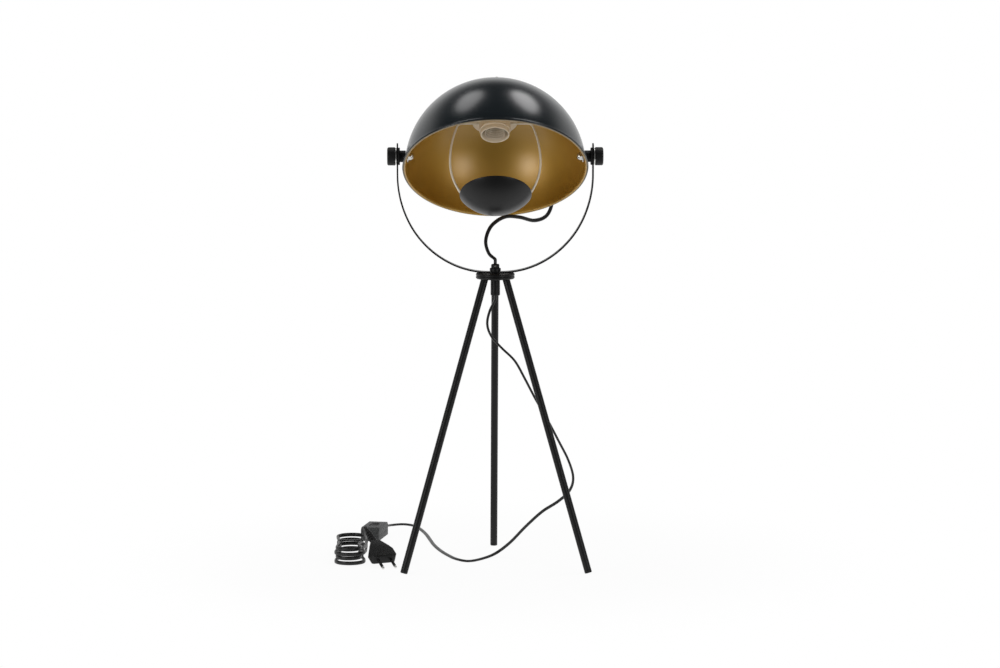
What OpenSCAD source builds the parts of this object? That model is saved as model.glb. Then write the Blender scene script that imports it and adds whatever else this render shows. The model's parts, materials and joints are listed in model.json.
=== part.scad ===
// Table lamp: a hemispherical shade that tilts in a flat steel yoke on a tripod.
// The hub axis is vertical, the lamp faces -Y, and the feet stand on z = 0.

/* [Shade] */
// Outer diameter of the spun bowl
bowl_d = 248; // [200:1:300]
// Thickness of the spun sheet
bowl_wall = 1.2; // [0.8:0.1:2]
// Height of the bowl's centre above the rim plane
bowl_centre_h = 2; // [0:0.5:8]
// Diameter of the rolled rim bead
bead_d = 4.4; // [3:0.1:6]
// How far the shade leans forward from straight down
shade_lean = 34.6; // [0:0.2:50]

/* [Tilt pivot] */
// Height of the pivot axis above the rim plane
pivot_h = 21; // [15:0.5:30]
// Diameter of the pivot studs
stud_d = 6; // [5:0.5:8]
// Clearance round a stud in the sheet parts
stud_play = 0.2; // [0.1:0.05:0.4]
// Clearance round a stud in a knob's thread
thread_play = 0.05; // [0.02:0.01:0.1]
// Diameter of the black spacer outside the bowl
spacer_d = 16; // [12:0.5:20]
// Diameter of the washer inside the yoke
inner_washer_d = 24; // [20:0.5:28]
// Thickness of the washer inside the yoke
inner_washer_t = 2.3; // [1:0.1:3]
// Diameter of the washer outside the yoke
outer_washer_d = 23; // [18:0.5:26]
// Thickness of the washer outside the yoke
outer_washer_t = 2; // [1:0.1:3]
// Diameter of the clamping knob
knob_d = 25; // [20:0.5:30]
// Height of the clamping knob
knob_h = 11; // [8:0.5:16]
// Rounding of the knob's outer edge
knob_round = 2.5; // [1:0.1:4]
// Diameter of the seat inside the bowl
seat_d = 17; // [14:0.5:20]
// Thickness of the seat inside the bowl
seat_t = 2.2; // [1.5:0.1:3]
// Width across the flats of the pivot nut
pivot_nut_af = 10; // [9:0.5:13]
// Height of the pivot nut's hexagon
pivot_nut_h = 4; // [4:0.5:8]
// Height of the pivot nut's dome
pivot_dome_h = 3.5; // [3:0.5:4.5]

/* [Yoke] */
// Width of the steel strip
yoke_w = 15; // [10:0.5:20]
// Thickness of the steel strip
yoke_t = 2; // [1.5:0.1:3]
// Gap between the rim bead and the strip
rim_gap = 5.7; // [4:0.1:12]
// Length of strip above the pivot
ear_over = 18; // [14:0.5:24]
// Length of straight ear below the pivot
ear_under = 25.3; // [20:0.1:40]
// Half the length of the flat under the hub nut
yoke_land = 9; // [8.5:0.5:14]
// Radius of the bends below the ears
shoulder_r = 145; // [135:1:150]
// Angle turned by the foot bend and by the shoulder bend
bend_angle = 25; // [20:1:30]

/* [Hub] */
// Height of the underside of the hub plate
hub_height = 398; // [300:1:500]
// Diameter of the hub plate
plate_d = 53.4; // [50:0.2:70]
// Thickness of the hub plate
plate_t = 8; // [6:0.5:12]
// Chamfer on the edges of the hub plate
plate_chamfer = 1.2; // [0.4:0.1:2]
// Width and depth of the turned groove in the plate's edge
plate_groove = 0.7; // [0.4:0.1:1]
// Diameter of the hollow threaded tubes at hub and crown
nipple_d = 10; // [9:0.5:12]
// Bore of the hollow threaded tubes
nipple_bore = 7; // [6.2:0.1:8]
// Clearance round a threaded tube in the sheet parts
nipple_play = 0.2; // [0.1:0.05:0.4]
// Diameter of the round nuts on the threaded tubes
ring_nut_d = 15.3; // [14:0.1:18]
// Height of the round nuts
ring_nut_h = 4; // [3:0.5:8]
// Clearance under the turning yoke
swivel_play = 0.05; // [0.02:0.01:0.1]
// Thickness of the spring washer over the yoke
swivel_washer_t = 0.8; // [0.5:0.1:1.5]
// Diameter of the cord grips
grip_d = 11.4; // [11:0.1:14]
// Height of the cord grips
grip_h = 5.5; // [4.5:0.5:10]
// Depth of the threaded tube in a cord grip
grip_seat = 1.3; // [0.8:0.1:1.4]
// Diameter of the clamp screws in the cord grips
grip_screw_d = 2.5; // [2:0.1:3]
// Diameter of the sleeve below the hub
sleeve_d = 13; // [12.5:0.1:16]
// Length of the sleeve below the hub
sleeve_l = 23; // [16:0.5:40]

/* [Legs] */
// Diameter of the leg tubes
leg_d = 10; // [8:0.5:12]
// Wall of the leg tubes
leg_wall = 1.2; // [0.8:0.1:1.6]
// Distance of the legs from the hub axis at the plate
leg_ring = 17; // [15:0.5:20]
// Distance of the feet from the hub axis
foot_ring = 146; // [110:1:180]
// Diameter of the leg studs
leg_stud_d = 6; // [5:0.5:7]
// Depth of the leg studs in the plate
leg_stud_in = 5.5; // [4:0.5:6]
// Length of the stud's plug in the tube
leg_plug_l = 16; // [10:1:30]
// Height of the foot cap's head
foot_head = 4; // [3:0.5:8]
// Length of the foot cap's stem in the tube
foot_stem = 14; // [8:1:24]
// Height of the cap's face centre over the floor
foot_rise = 0.4; // [0.2:0.1:1.2]
// Rounding of the cap's edge
foot_round = 1; // [0.4:0.1:1.5]

/* [Lampholder] */
// Height of the mouth above the rim plane
mouth_h = 55; // [45:0.5:62]
// Outer diameter of the skirt at the mouth
skirt_d = 40; // [38:0.2:42]
// Wall of the skirt
skirt_wall = 2; // [1.5:0.1:2.5]
// Length of the skirt below the shade ring
skirt_l = 20; // [16:0.5:24]
// Outer diameter of the skirt's threaded part
collar_d = 43; // [42.5:0.1:46]
// Diameter of the shade ring
ring_d = 63; // [56:0.5:70]
// Thickness of the shade ring
ring_t = 6; // [5:0.5:8]
// Diameter of the holder's cap
cap_d = 47; // [46:0.5:52]
// Length of the cap's straight part
cap_l = 20; // [14:0.5:22]
// Wall of the cap
cap_wall = 2.2; // [1.6:0.1:3]
// Bore of the lamp thread
lamp_bore = 26.4; // [26:0.1:27]
// Length of the lamp thread's shell
lamp_shell_l = 22; // [18:0.5:26]
// Wall of the lamp thread's shell
lamp_shell_wall = 0.7; // [0.4:0.1:1]
// Width across the flats of the lock nut
lock_nut_af = 14; // [13:0.5:17]
// Height of the lock nut
lock_nut_h = 3; // [2.5:0.1:4]

/* [Guard and dish] */
// Diameter of the guard wire
wire_d = 3; // [2:0.1:4]
// Inward lean of the wire's side at its top
wire_top_lean = 19.3; // [14:0.1:24]
// Largest distance of the wire from the axis
wire_mid_r = 62; // [60:0.5:68]
// Height of that place above the rim plane
wire_mid_h = 13; // [5:0.5:20]
// Distance of the wire from the axis where it enters the dish
wire_low_r = 46; // [40:0.5:47]
// Height of that place above the rim plane
wire_low_h = -40; // [-44:0.5:-34]
// Bend radius of the wire
wire_bend_r = 8; // [5:0.5:12]
// Diameter of the dish
dish_d = 98; // [96:0.5:110]
// Depth of the dish
dish_depth = 23.5; // [20:0.5:30]
// Wall of the dish
dish_wall = 1; // [0.8:0.1:1.6]

/* [Cord] */
// Width of the flat twin cord
cord_w = 5.4; // [4.6:0.1:5.8]
// Thickness of the flat twin cord
cord_t = 3.2; // [2.6:0.1:3.6]
// Gap between neighbouring loops of the hank
loop_gap = 0.8; // [0.6:0.1:1.5]
// Straight run of the hank between its folds
hank_run = 84; // [70:1:110]
// Radius of the outermost fold
hank_fold_r = 21; // [19:0.5:24]
// Share of its width that the hank loses at the waist
hank_waist = 0.24; // [0.1:0.02:0.3]
// Number of layers in the hank
hank_layers = 4; // [2, 4]
// Width of the tie round the hank
tie_w = 5; // [3:0.5:8]
// Thickness of the tie
tie_t = 0.8; // [0.5:0.1:1.2]
// Clearance between the tie and the hank
tie_play = 0.15; // [0.1:0.05:0.4]

/* [Switch] */
// Length of the cord switch
switch_l = 70; // [60:1:90]
// Width of the cord switch
switch_w = 27; // [24:0.5:32]
// Height of the cord switch
switch_h = 19; // [17:0.5:24]
// Rounding of the switch's upright edges
switch_round = 6; // [3:0.5:8]
// Height of the base shell
base_h = 8; // [7:0.5:9]
// Wall of both shells
switch_wall = 2; // [1.6:0.1:2.4]
// Length of the rocker
rocker_l = 20; // [16:0.5:24]
// Width of the rocker
rocker_w = 11; // [9:0.5:14]
// Gap round the rocker
rocker_gap = 0.4; // [0.3:0.05:0.8]
// Diameter of the rocker's axle
axle_d = 3; // [2.5:0.1:3.5]
// Clearance round the rocker's axle
axle_play = 0.2; // [0.1:0.05:0.3]
// Angle of the rocker at rest
rocker_angle = 6; // [4:0.5:7]
// Diameter of the screws that hold the switch together
switch_screw_d = 3; // [2.5:0.5:3.5]

/* [Plug] */
// Width of the plug's body
plug_w = 35.3; // [34:0.1:37]
// Thickness of the plug's body
plug_t = 13.7; // [13:0.1:16]
// Length of the plug's body
plug_l = 40; // [34:0.5:44]
// Length of the tapered strain relief
relief_l = 30; // [20:1:40]
// Diameter of the pins
pin_d = 4; // [3.8:0.1:4.8]
// Length of the pins
pin_l = 19; // [17:0.5:20]
// Diameter of the pins' stems in the body
pin_stem_d = 3.2; // [2.8:0.1:3.4]
// Distance between the pins
pin_pitch = 18.6; // [17:0.1:19.2]
// Slope of the plug, pins down
plug_slope = 27; // [20:1:35]
// Heading of the pins from the front, to the right
plug_heading = 24.9; // [15:0.1:35]

/* [Hidden] */
$fn = 96;
far = 1000;

// Shade
bowl_r = bowl_d / 2;
bowl_in_r = bowl_r - bowl_wall;
bead_inset = 0.1;
bead_c = bowl_in_r + bead_inset + bead_d / 2;
rim_r = bead_c + bead_d / 2;
apex_h = bowl_centre_h + bowl_r;
pivot_x = sqrt(bowl_r ^ 2 - (pivot_h - bowl_centre_h) ^ 2);
pivot_in_x = sqrt(bowl_in_r ^ 2 - (pivot_h - bowl_centre_h) ^ 2);
nipple_hole_d = nipple_d + 2 * nipple_play;
stud_hole_d = stud_d + 2 * stud_play;
pivot_seat_z = pivot_in_x - seat_t;
pivot_nut_z = pivot_seat_z - pivot_nut_h;
pivot_dome_r = (pivot_nut_af ^ 2 / 4 + pivot_dome_h ^ 2) / (2 * pivot_dome_h);

// Yoke
yoke_in = rim_r + rim_gap;
yoke_mid = yoke_in + yoke_t / 2;
hub_top = hub_height + plate_t;
bend_in = sin(bend_angle);
bend_up = cos(bend_angle);
shoulder_in = shoulder_r * (1 - bend_up);
shoulder_up = shoulder_r * bend_in;
foot_bend_r = (shoulder_up - shoulder_in - yoke_land) / (bend_in + bend_up - 1);
side_bend_r = (yoke_mid - yoke_land - shoulder_in - foot_bend_r * bend_in) / (bend_up - bend_in);
yoke_rise = yoke_mid;
knob_z = yoke_in + yoke_t + outer_washer_t;
knob_bore = knob_h * 0.75;
stud_in_knob = knob_bore - 0.5;
yoke_z = hub_top + swivel_play;
pivot_z = yoke_z + yoke_t / 2 + yoke_rise + ear_under;
// A joint between two bends is a hair wider than they are, so that they close
joint_over = 0.04;
wire_joint_over = 0.12;

// Hub and legs
nut_z = yoke_z + yoke_t + swivel_washer_t;
grip_z = nut_z + ring_nut_h;
grip_top = grip_z + grip_h;
sleeve_z = hub_height - sleeve_l;
splay = atan((foot_ring - leg_ring) / hub_height);
leg_l = hub_height / cos(splay);
leg_in_d = leg_d - 2 * leg_wall;
cap_face = leg_l - foot_rise / cos(splay);
nipple_low_z = hub_height - sleeve_l / 2;

// The lamp's own bounding box is centred on the origin
front_reach = (pivot_h - bead_d / 2) * sin(shade_lean) + bead_c * cos(shade_lean) + bead_d / 2;
rear_reach = foot_ring + leg_d / 2 / cos(splay);
hub_y = (front_reach - rear_reach) / 2;

// Lampholder
ring_h = mouth_h + skirt_l;
cap_h = ring_h + ring_t;
cap_top_h = cap_h + cap_l;
lock_nut_r = lock_nut_af / 2 / cos(30);
lock_h = apex_h - bowl_wall - lock_nut_h - lock_nut_r ^ 2 / (2 * bowl_in_r);
shell_seat = 3;
insert_h = ring_t + 4;
lamp_shell_d = lamp_bore + 2 * lamp_shell_wall;
contact_pocket_d = 14;
cap_taper = 4;
crown_nipple_h = cap_top_h - cap_wall - 3;
grip_crown_h = apex_h + ring_nut_h;
crown_tip_h = grip_crown_h + grip_h;

// Guard wire: an upper and a lower bend that meet at its widest place
wire_sink = 0.5;
wire_top = ring_h - wire_d / 2 + wire_sink;
wire_up_r = wire_bend_r + (wire_top - wire_bend_r - wire_mid_h) / sin(wire_top_lean);
wire_corner_x = wire_mid_r - wire_up_r + (wire_up_r - wire_bend_r) * cos(wire_top_lean);
wire_down = wire_mid_h - wire_low_h;
wire_down_angle = 2 * atan((wire_mid_r - wire_low_r) / wire_down);
wire_down_r = wire_down / sin(wire_down_angle);
low_bend_x = wire_low_r - wire_bend_r * cos(wire_down_angle);
low_bend_h = wire_low_h + wire_bend_r * sin(wire_down_angle);

// Dish: its inner face touches the wire's lower bends
dish_r = ((dish_d / 2) ^ 2 + dish_depth ^ 2) / (2 * dish_depth);
dish_touch_r = dish_r - dish_wall - wire_bend_r - wire_d / 2 - 0.03;
dish_centre_h = low_bend_h + sqrt(dish_touch_r ^ 2 - low_bend_x ^ 2);
dish_rim_h = dish_centre_h - dish_r + dish_depth;

// Cord section and hank
cord_sides = 8;
hank_sides = 6;
loop_steps = 24;
layer_pitch = cord_w + loop_gap;
loop_step = (cord_t + loop_gap) / (1 - hank_waist);
hank_z = tie_t + tie_play + cord_w / 2;
hank_top = hank_z + (hank_layers - 1) * layer_pitch + cord_w / 2;
hank_at = [-203, 48];
lead = 6;

// Switch and plug on the floor
switch_posts = [-switch_l / 2 + 13, switch_l / 2 - 13];
rocker_depth = switch_h - base_h;
rocker_axis_z = switch_h - 5;
relief_ribs = 5;
switch_at = [-173, 212];
switch_heading = 11.5;
switch_dir = [-sin(switch_heading), -cos(switch_heading), 0];
plug_tip = [-146, -40];
plug_dir = [sin(plug_heading) * cos(plug_slope), -cos(plug_heading) * cos(plug_slope), -sin(plug_slope)];
plug_tip_z = pin_d / 2 * cos(plug_slope);
plug_rear = [plug_tip[0], plug_tip[1], plug_tip_z] - (pin_l + plug_l + relief_l) * plug_dir;

// Routes of the cord, from the hub axis
crown_dir = [0, sin(shade_lean), cos(shade_lean)];
crown_tip = [0, 0, pivot_z] + (crown_tip_h - pivot_h) * crown_dir;
upper_route = [crown_tip, crown_tip + lead * crown_dir, [4, 84, 670], [16, 106, 656],
    [34, 120, 628], [52, 127, 596], [68, 127, 562], [79, 122, 528], [82, 112, 498],
    [74, 101, 478], [56, 85, 472], [35, 65, 478], [14, 44, 480], [-5, 23, 469],
    [-13, 9, 450], [-9, 3, 433], [0, 0, grip_top + lead], [0, 0, grip_top]];
floor_z = cord_t / 2;
switch_cord_z = base_h;
switch_rear = [switch_at[0], switch_at[1], switch_cord_z] - switch_l / 2 * switch_dir;
lower_route = [[0, 0, sleeve_z], [0, 0, sleeve_z - lead], [-8, 1, 352], [-11, 3, 334],
    [-5, 5, 317], [9, 7, 301], [27, 8, 283], [41, 10, 258], [56, 13, 229], [73, 16, 199],
    [88, 19, 170], [102, 22, 142], [109, 25, 117], [104, 28, 98], [88, 32, 82],
    [66, 36, 67], [43, 41, 45], [22, 47, 22], [2, 50, 6], [-17, 32, floor_z],
    [-37, 12, floor_z], [-54, 28, floor_z], [-66, 58, floor_z], [-77, 96, floor_z],
    [-86, 140, floor_z], [-92, 184, floor_z], [-98, 228, floor_z], [-106, 268, floor_z],
    [-116, 300, floor_z], [-132, 314, floor_z], [-149, 308, floor_z], [-158, 286, 4],
    switch_rear - lead * switch_dir, switch_rear];

// Functions for tubes along a route
function unit(v) = v / norm(v);
function turned(p) = [for (i = [len(p) - 1:-1:0]) p[i]];
function between(a, b, c, d, f) = 0.5 * (2 * b + (c - a) * f + (2 * a - 5 * b + 4 * c - d) * f ^ 2
    + (3 * b - a - 3 * c + d) * f ^ 3);
function smooth(p, n) = concat([for (i = [0:len(p) - 2], j = [0:n - 1]) i == 0 || i == len(p) - 2
    ? p[i] + (p[i + 1] - p[i]) * j / n
    : between(p[i - 1], p[i], p[i + 1], p[i + 2], j / n)], [p[len(p) - 1]]);
function tangent(p, i) = unit(p[min(i + 1, len(p) - 1)] - p[max(i - 1, 0)]);
function level_side(t) = unit(cross(t, [0, 0, 1]));
function flat_to(s, t) = unit(s - (s * t) * t);
function carried(p, s0) = [for (i = 0, s = flat_to(s0, tangent(p, 0)); i < len(p);
    i = i + 1, s = flat_to(s, tangent(p, min(i, len(p) - 1)))) s];
function ring(c, t, s, sides) = let (b = cross(t, s))
    [for (k = [0:sides - 1]) let (a = 360 * (k + 0.5) / sides)
        c + cord_w / 2 * cos(a) * s + cord_t / 2 * sin(a) * b];

upper_path = smooth(upper_route, 2);
upper_sides = carried(upper_path, [1, 0, 0]);
lower_path = turned(smooth(lower_route, 2));
lower_sides = carried(lower_path, level_side(tangent(lower_path, 0)));

module tube(p, s, sides) {
    n = len(p);
    points = [for (i = [0:n - 1]) each ring(p[i], tangent(p, i), s[i], sides)];
    walls = [for (i = [0:n - 2], k = [0:sides - 1])
        let (a = i * sides + k, b = i * sides + (k + 1) % sides)
        each [[a, a + sides, b + sides], [a, b + sides, b]]];
    first = [for (k = [0:sides - 1]) k];
    last = [for (k = [sides - 1:-1:0]) (n - 1) * sides + k];
    polyhedron(points, concat([first, last], walls));
}

// The hank: layers of folded loops that spiral in and out and climb along one run
function share(f) = f < 0.25 ? 0 : (f - 0.25) / 0.75;
function inset(q) = let (layer = floor(q), f = q - layer) layer % 2 == 0 ? share(f) : 1 - share(f);
function climbed(q) = let (layer = floor(q), f = q - layer)
    layer < 1 ? 0 : f >= 0.25 ? layer : layer - 1 + f * 4;
function drawn(u) = 1 - hank_waist * (1 - (2 * u / hank_run) ^ 2) ^ 2;
function fold_point(f, r) = f < 0.25
    ? let (u = hank_run * (4 * f - 0.5)) [u, r * drawn(u)]
    : f < 0.5 ? [hank_run / 2 + r * sin(720 * (f - 0.25)), r * cos(720 * (f - 0.25))]
    : f < 0.75 ? let (u = hank_run * (2.5 - 4 * f)) [u, -r * drawn(u)]
    : [-hank_run / 2 - r * sin(720 * (f - 0.75)), -r * cos(720 * (f - 0.75))];
function hank_point(q) = let (f = q - floor(q), uv = fold_point(f, hank_fold_r - loop_step * inset(q)))
    [hank_at[0] + uv[1], hank_at[1] - uv[0], hank_z + layer_pitch * climbed(q)];
loops = [for (i = [0:hank_layers * loop_steps]) hank_point(min(i / loop_steps, hank_layers - 0.0001))];
switch_front = [switch_at[0], switch_at[1], switch_cord_z] + switch_l / 2 * switch_dir;
lead_in = smooth([switch_front, switch_front + lead * switch_dir, [-183, 152, 5.6],
    [-183, 130, hank_z + 0.4], [-182, 110, hank_z], loops[0]], 2);
lead_out = smooth([loops[len(loops) - 1], [-182, 76, hank_top - 1], [-184, 60, hank_top + 8],
    [-185, 48, hank_top + 18], plug_rear - lead * plug_dir, plug_rear], 2);
hank_path = concat([for (i = [0:len(lead_in) - 2]) lead_in[i]], loops,
    [for (i = [1:len(lead_out) - 1]) lead_out[i]]);
function roll_at(i) = let (n = len(hank_path), a = len(lead_in) - 3, b = len(lead_out) - 3)
    90 * min(1, i < 2 ? 0 : (i - 1) / a, i > n - 3 ? 0 : (n - 2 - i) / b);
function rolled(t, roll) = let (h = level_side(t)) h * cos(roll) + cross(t, h) * sin(roll);
hank_rolls = [for (i = [0:len(hank_path) - 1]) rolled(tangent(hank_path, i), roll_at(i))];

// Places that the pieces are drawn in
module at_hub() translate([0, hub_y, 0]) children();
module in_shade() at_hub() translate([0, 0, pivot_z]) rotate([-shade_lean, 0, 0])
    translate([0, 0, -pivot_h]) children();
module on_pivot(side) at_hub() translate([0, 0, pivot_z]) rotate([0, side * 90, 0]) children();
module both_pivots() for (side = [-1, 1]) on_pivot(side) children();
module tube_ring(d, bore, z, h) translate([0, 0, z]) difference() {
    cylinder(d = d, h = h);
    translate([0, 0, -1]) cylinder(d = bore, h = h + 2);
}
module rounded_disc(d, h, r) rotate_extrude() {
    square([d / 2 - r, h]);
    square([d / 2, h - r]);
    translate([d / 2 - r, h - r]) circle(r = r, $fn = 48);
}

// Shade
module bowl_ball(r) in_shade() translate([0, 0, bowl_centre_h]) sphere(r = r, $fn = 256);
module shade_shell() color([0.05, 0.05, 0.06]) difference() {
    in_shade() rotate_extrude($fn = 128) {
        difference() {
            intersection() {
                translate([0, bowl_centre_h]) circle(r = bowl_r, $fn = 256);
                translate([nipple_hole_d / 2, bead_d / 2]) square(bowl_d);
            }
            translate([0, bowl_centre_h]) circle(r = bowl_in_r, $fn = 256);
        }
        translate([bead_c, bead_d / 2]) circle(d = bead_d, $fn = 48);
    }
    both_pivots() cylinder(d = stud_hole_d, h = bowl_d);
}
module crown_nut() color("black") difference() {
    in_shade() tube_ring(ring_nut_d, nipple_d, apex_h - 1, ring_nut_h + 1);
    bowl_ball(bowl_r);
}
module grip(z) difference() {
    translate([0, 0, z]) rounded_disc(grip_d, grip_h, grip_h / 3);
    translate([0, 0, z - 1]) cylinder(d = nipple_bore, h = grip_h + 2);
    translate([0, 0, z - 1]) cylinder(d = nipple_d, h = grip_seat + 1);
    translate([0, 0, z + grip_h / 2]) rotate([90, 0, 0]) cylinder(d = grip_screw_d, h = grip_d);
}
module grip_screw(z) difference() {
    translate([0, -nipple_bore / 2 - 0.1, z + grip_h / 2]) rotate([90, 0, 0])
        cylinder(d = grip_screw_d, h = (grip_d - nipple_bore) / 2 + 0.6);
    translate([-grip_screw_d, -grip_d / 2 - 1, z + grip_h / 2 - 0.25])
        cube([2 * grip_screw_d, 1, 0.5]);
}
module crown_grip() color("black") in_shade() grip(grip_crown_h);
module crown_screw() color("silver") in_shade() grip_screw(grip_crown_h);
module crown_nipple() color("goldenrod") in_shade()
    tube_ring(nipple_d, nipple_bore, crown_nipple_h, grip_crown_h + grip_seat - crown_nipple_h);
module holder_cord() color([0.05, 0.05, 0.05]) in_shade() {
    p = [for (h = [cap_h + 6, cap_top_h, crown_tip_h]) [0, 0, h]];
    tube(p, carried(p, [1, 0, 0]), cord_sides);
}

// Lampholder
module holder_lock_nut() color("silver") in_shade() translate([0, 0, lock_h]) difference() {
    cylinder(r = lock_nut_r, h = lock_nut_h, $fn = 6);
    translate([0, 0, -1]) cylinder(d = nipple_d, h = lock_nut_h + 2);
}
module holder_cap() color([0.9, 0.84, 0.72]) in_shade() rotate_extrude() difference() {
    polygon([[nipple_hole_d / 2, cap_h], [cap_d / 2, cap_h], [cap_d / 2, cap_top_h - cap_taper],
        [nipple_d, lock_h], [nipple_hole_d / 2, lock_h]]);
    in_x = cap_d / 2 - cap_wall;
    polygon([[0, cap_h - 1], [in_x, cap_h - 1], [in_x, cap_top_h - cap_taper - cap_wall / 2],
        [nipple_d - cap_wall / 2, lock_h - cap_wall], [0, lock_h - cap_wall]]);
}
module holder_skirt() color([0.9, 0.84, 0.72]) in_shade() rotate_extrude() difference() {
    union() {
        translate([0, mouth_h + 1]) square([skirt_d / 2, skirt_l + ring_t]);
        translate([0, mouth_h]) square([skirt_d / 2 - 1, 2]);
        translate([skirt_d / 2 - 1, mouth_h + 1]) circle(r = 1, $fn = 32);
        translate([0, mouth_h + skirt_l / 3]) square([collar_d / 2, skirt_l * 2 / 3 + ring_t]);
    }
    translate([0, mouth_h - 1]) square([skirt_d / 2 - skirt_wall, skirt_l + ring_t + 3]);
}
module wire_bar(d, h) in_shade() translate([0, 0, h]) rotate([0, 90, 0])
    cylinder(d = d, h = bowl_d, center = true);
module holder_shade_ring() color([0.9, 0.84, 0.72]) difference() {
    in_shade() rotate_extrude() {
        translate([collar_d / 2, ring_h]) square([(ring_d - collar_d) / 2 - 1.5, ring_t]);
        translate([collar_d / 2, ring_h + 1.5]) square([(ring_d - collar_d) / 2, ring_t - 3]);
        for (z = [1.5, ring_t - 1.5]) translate([ring_d / 2 - 1.5, ring_h + z]) circle(r = 1.5, $fn = 32);
    }
    wire_bar(wire_d, wire_top);
}
module holder_insert() color("white") in_shade() difference() {
    translate([0, 0, ring_h]) cylinder(d = skirt_d - 2 * skirt_wall, h = insert_h);
    translate([0, 0, ring_h - 1]) cylinder(d = lamp_shell_d, h = shell_seat + 1);
    translate([0, 0, ring_h + shell_seat - 0.1]) cylinder(d = contact_pocket_d, h = 2);
}
module lamp_thread_shell() color([0.85, 0.75, 0.45]) in_shade() difference() {
    translate([0, 0, ring_h + shell_seat - lamp_shell_l]) cylinder(d = lamp_shell_d, h = lamp_shell_l);
    translate([0, 0, ring_h + shell_seat - 1 - lamp_shell_l])
        cylinder(d = lamp_bore, h = lamp_shell_l + 2);
}
module centre_contact() color([0.85, 0.7, 0.35]) in_shade() rotate_extrude() {
    translate([0, ring_h + shell_seat + 0.9]) square([contact_pocket_d / 2 - 0.5, 1]);
    translate([0, ring_h + shell_seat + 0.1]) square([3, 1.8]);
}
module wire_arc(r, from, to) rotate([0, 0, from]) rotate_extrude(angle = to - from)
    translate([r, 0]) circle(d = wire_d, $fn = 32);
module wire_joint(c, r, a) translate([c[0] + r * cos(a), c[1] + r * sin(a), 0])
    sphere(d = wire_d + wire_joint_over, $fn = 32);
module guard_half() rotate([90, 0, 0]) {
    corner = [wire_corner_x, wire_top - wire_bend_r, 0];
    low_corner = [low_bend_x, low_bend_h, 0];
    translate([collar_d / 2, wire_top, 0]) rotate([0, 90, 0])
        cylinder(d = wire_d, h = wire_corner_x - collar_d / 2);
    wire_joint(corner, wire_bend_r, 90);
    translate(corner) wire_arc(wire_bend_r, wire_top_lean, 90);
    wire_joint(corner, wire_bend_r, wire_top_lean);
    translate([wire_mid_r - wire_up_r, wire_mid_h, 0]) wire_arc(wire_up_r, 0, wire_top_lean);
    wire_joint([wire_mid_r, wire_mid_h], 0, 0);
    translate([wire_mid_r - wire_down_r, wire_mid_h, 0]) wire_arc(wire_down_r, -wire_down_angle, 0);
    wire_joint(low_corner, wire_bend_r, -wire_down_angle);
    translate(low_corner) wire_arc(wire_bend_r, -90, -wire_down_angle);
    wire_joint(low_corner, wire_bend_r, -90);
    translate([-0.5, low_bend_h - wire_bend_r, 0]) rotate([0, 90, 0])
        cylinder(d = wire_d, h = low_bend_x + 0.5);
}
module guard_wire() color([0.88, 0.84, 0.76]) in_shade() {
    guard_half();
    mirror([1, 0, 0]) guard_half();
}
module reflector_dish() color([0.08, 0.08, 0.08]) in_shade() rotate_extrude($fn = 128) difference() {
    intersection() {
        translate([0, dish_centre_h]) circle(r = dish_r, $fn = 256);
        translate([0, dish_rim_h - dish_depth - 1]) square([dish_d, dish_depth + 1]);
    }
    translate([0, dish_centre_h]) circle(r = dish_r - dish_wall, $fn = 256);
}

// Tilt pivot
module pivot_studs() color("silver") both_pivots() translate([0, 0, pivot_nut_z])
    cylinder(d = stud_d, h = knob_z + stud_in_knob - pivot_nut_z);
module pivot_seats() color("silver") difference() {
    intersection() {
        both_pivots() translate([0, 0, pivot_seat_z]) cylinder(d = seat_d, h = seat_t + 5);
        bowl_ball(bowl_in_r);
    }
    both_pivots() cylinder(d = stud_d, h = bowl_r);
}
module pivot_nuts() color("silver") both_pivots() translate([0, 0, pivot_nut_z]) difference() {
    union() {
        cylinder(d = pivot_nut_af / cos(30), h = pivot_nut_h, $fn = 6);
        intersection() {
            translate([0, 0, pivot_dome_r - pivot_dome_h]) sphere(r = pivot_dome_r);
            translate([0, 0, -pivot_dome_h - 1]) cylinder(d = pivot_nut_af, h = pivot_dome_h + 1.5);
        }
    }
    cylinder(d = stud_d, h = pivot_nut_h + 1);
}
module pivot_spacers() color("black") difference() {
    both_pivots() tube_ring(spacer_d, stud_hole_d, pivot_x - 5, yoke_in - inner_washer_t - pivot_x + 5);
    bowl_ball(bowl_r);
}
module inner_washers() color("black") both_pivots()
    tube_ring(inner_washer_d, stud_hole_d, yoke_in - inner_washer_t, inner_washer_t);
module outer_washers() color("dimgray") both_pivots()
    tube_ring(outer_washer_d, stud_hole_d, yoke_in + yoke_t, outer_washer_t);
module knob(side) on_pivot(side) translate([0, 0, knob_z]) difference() {
    rounded_disc(knob_d, knob_h, knob_round);
    translate([0, 0, -1]) cylinder(d = stud_d + 2 * thread_play, h = knob_bore + 1);
}
module knob_left() color([0.06, 0.06, 0.06]) knob(-1);
module knob_right() color([0.06, 0.06, 0.06]) knob(1);

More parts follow.
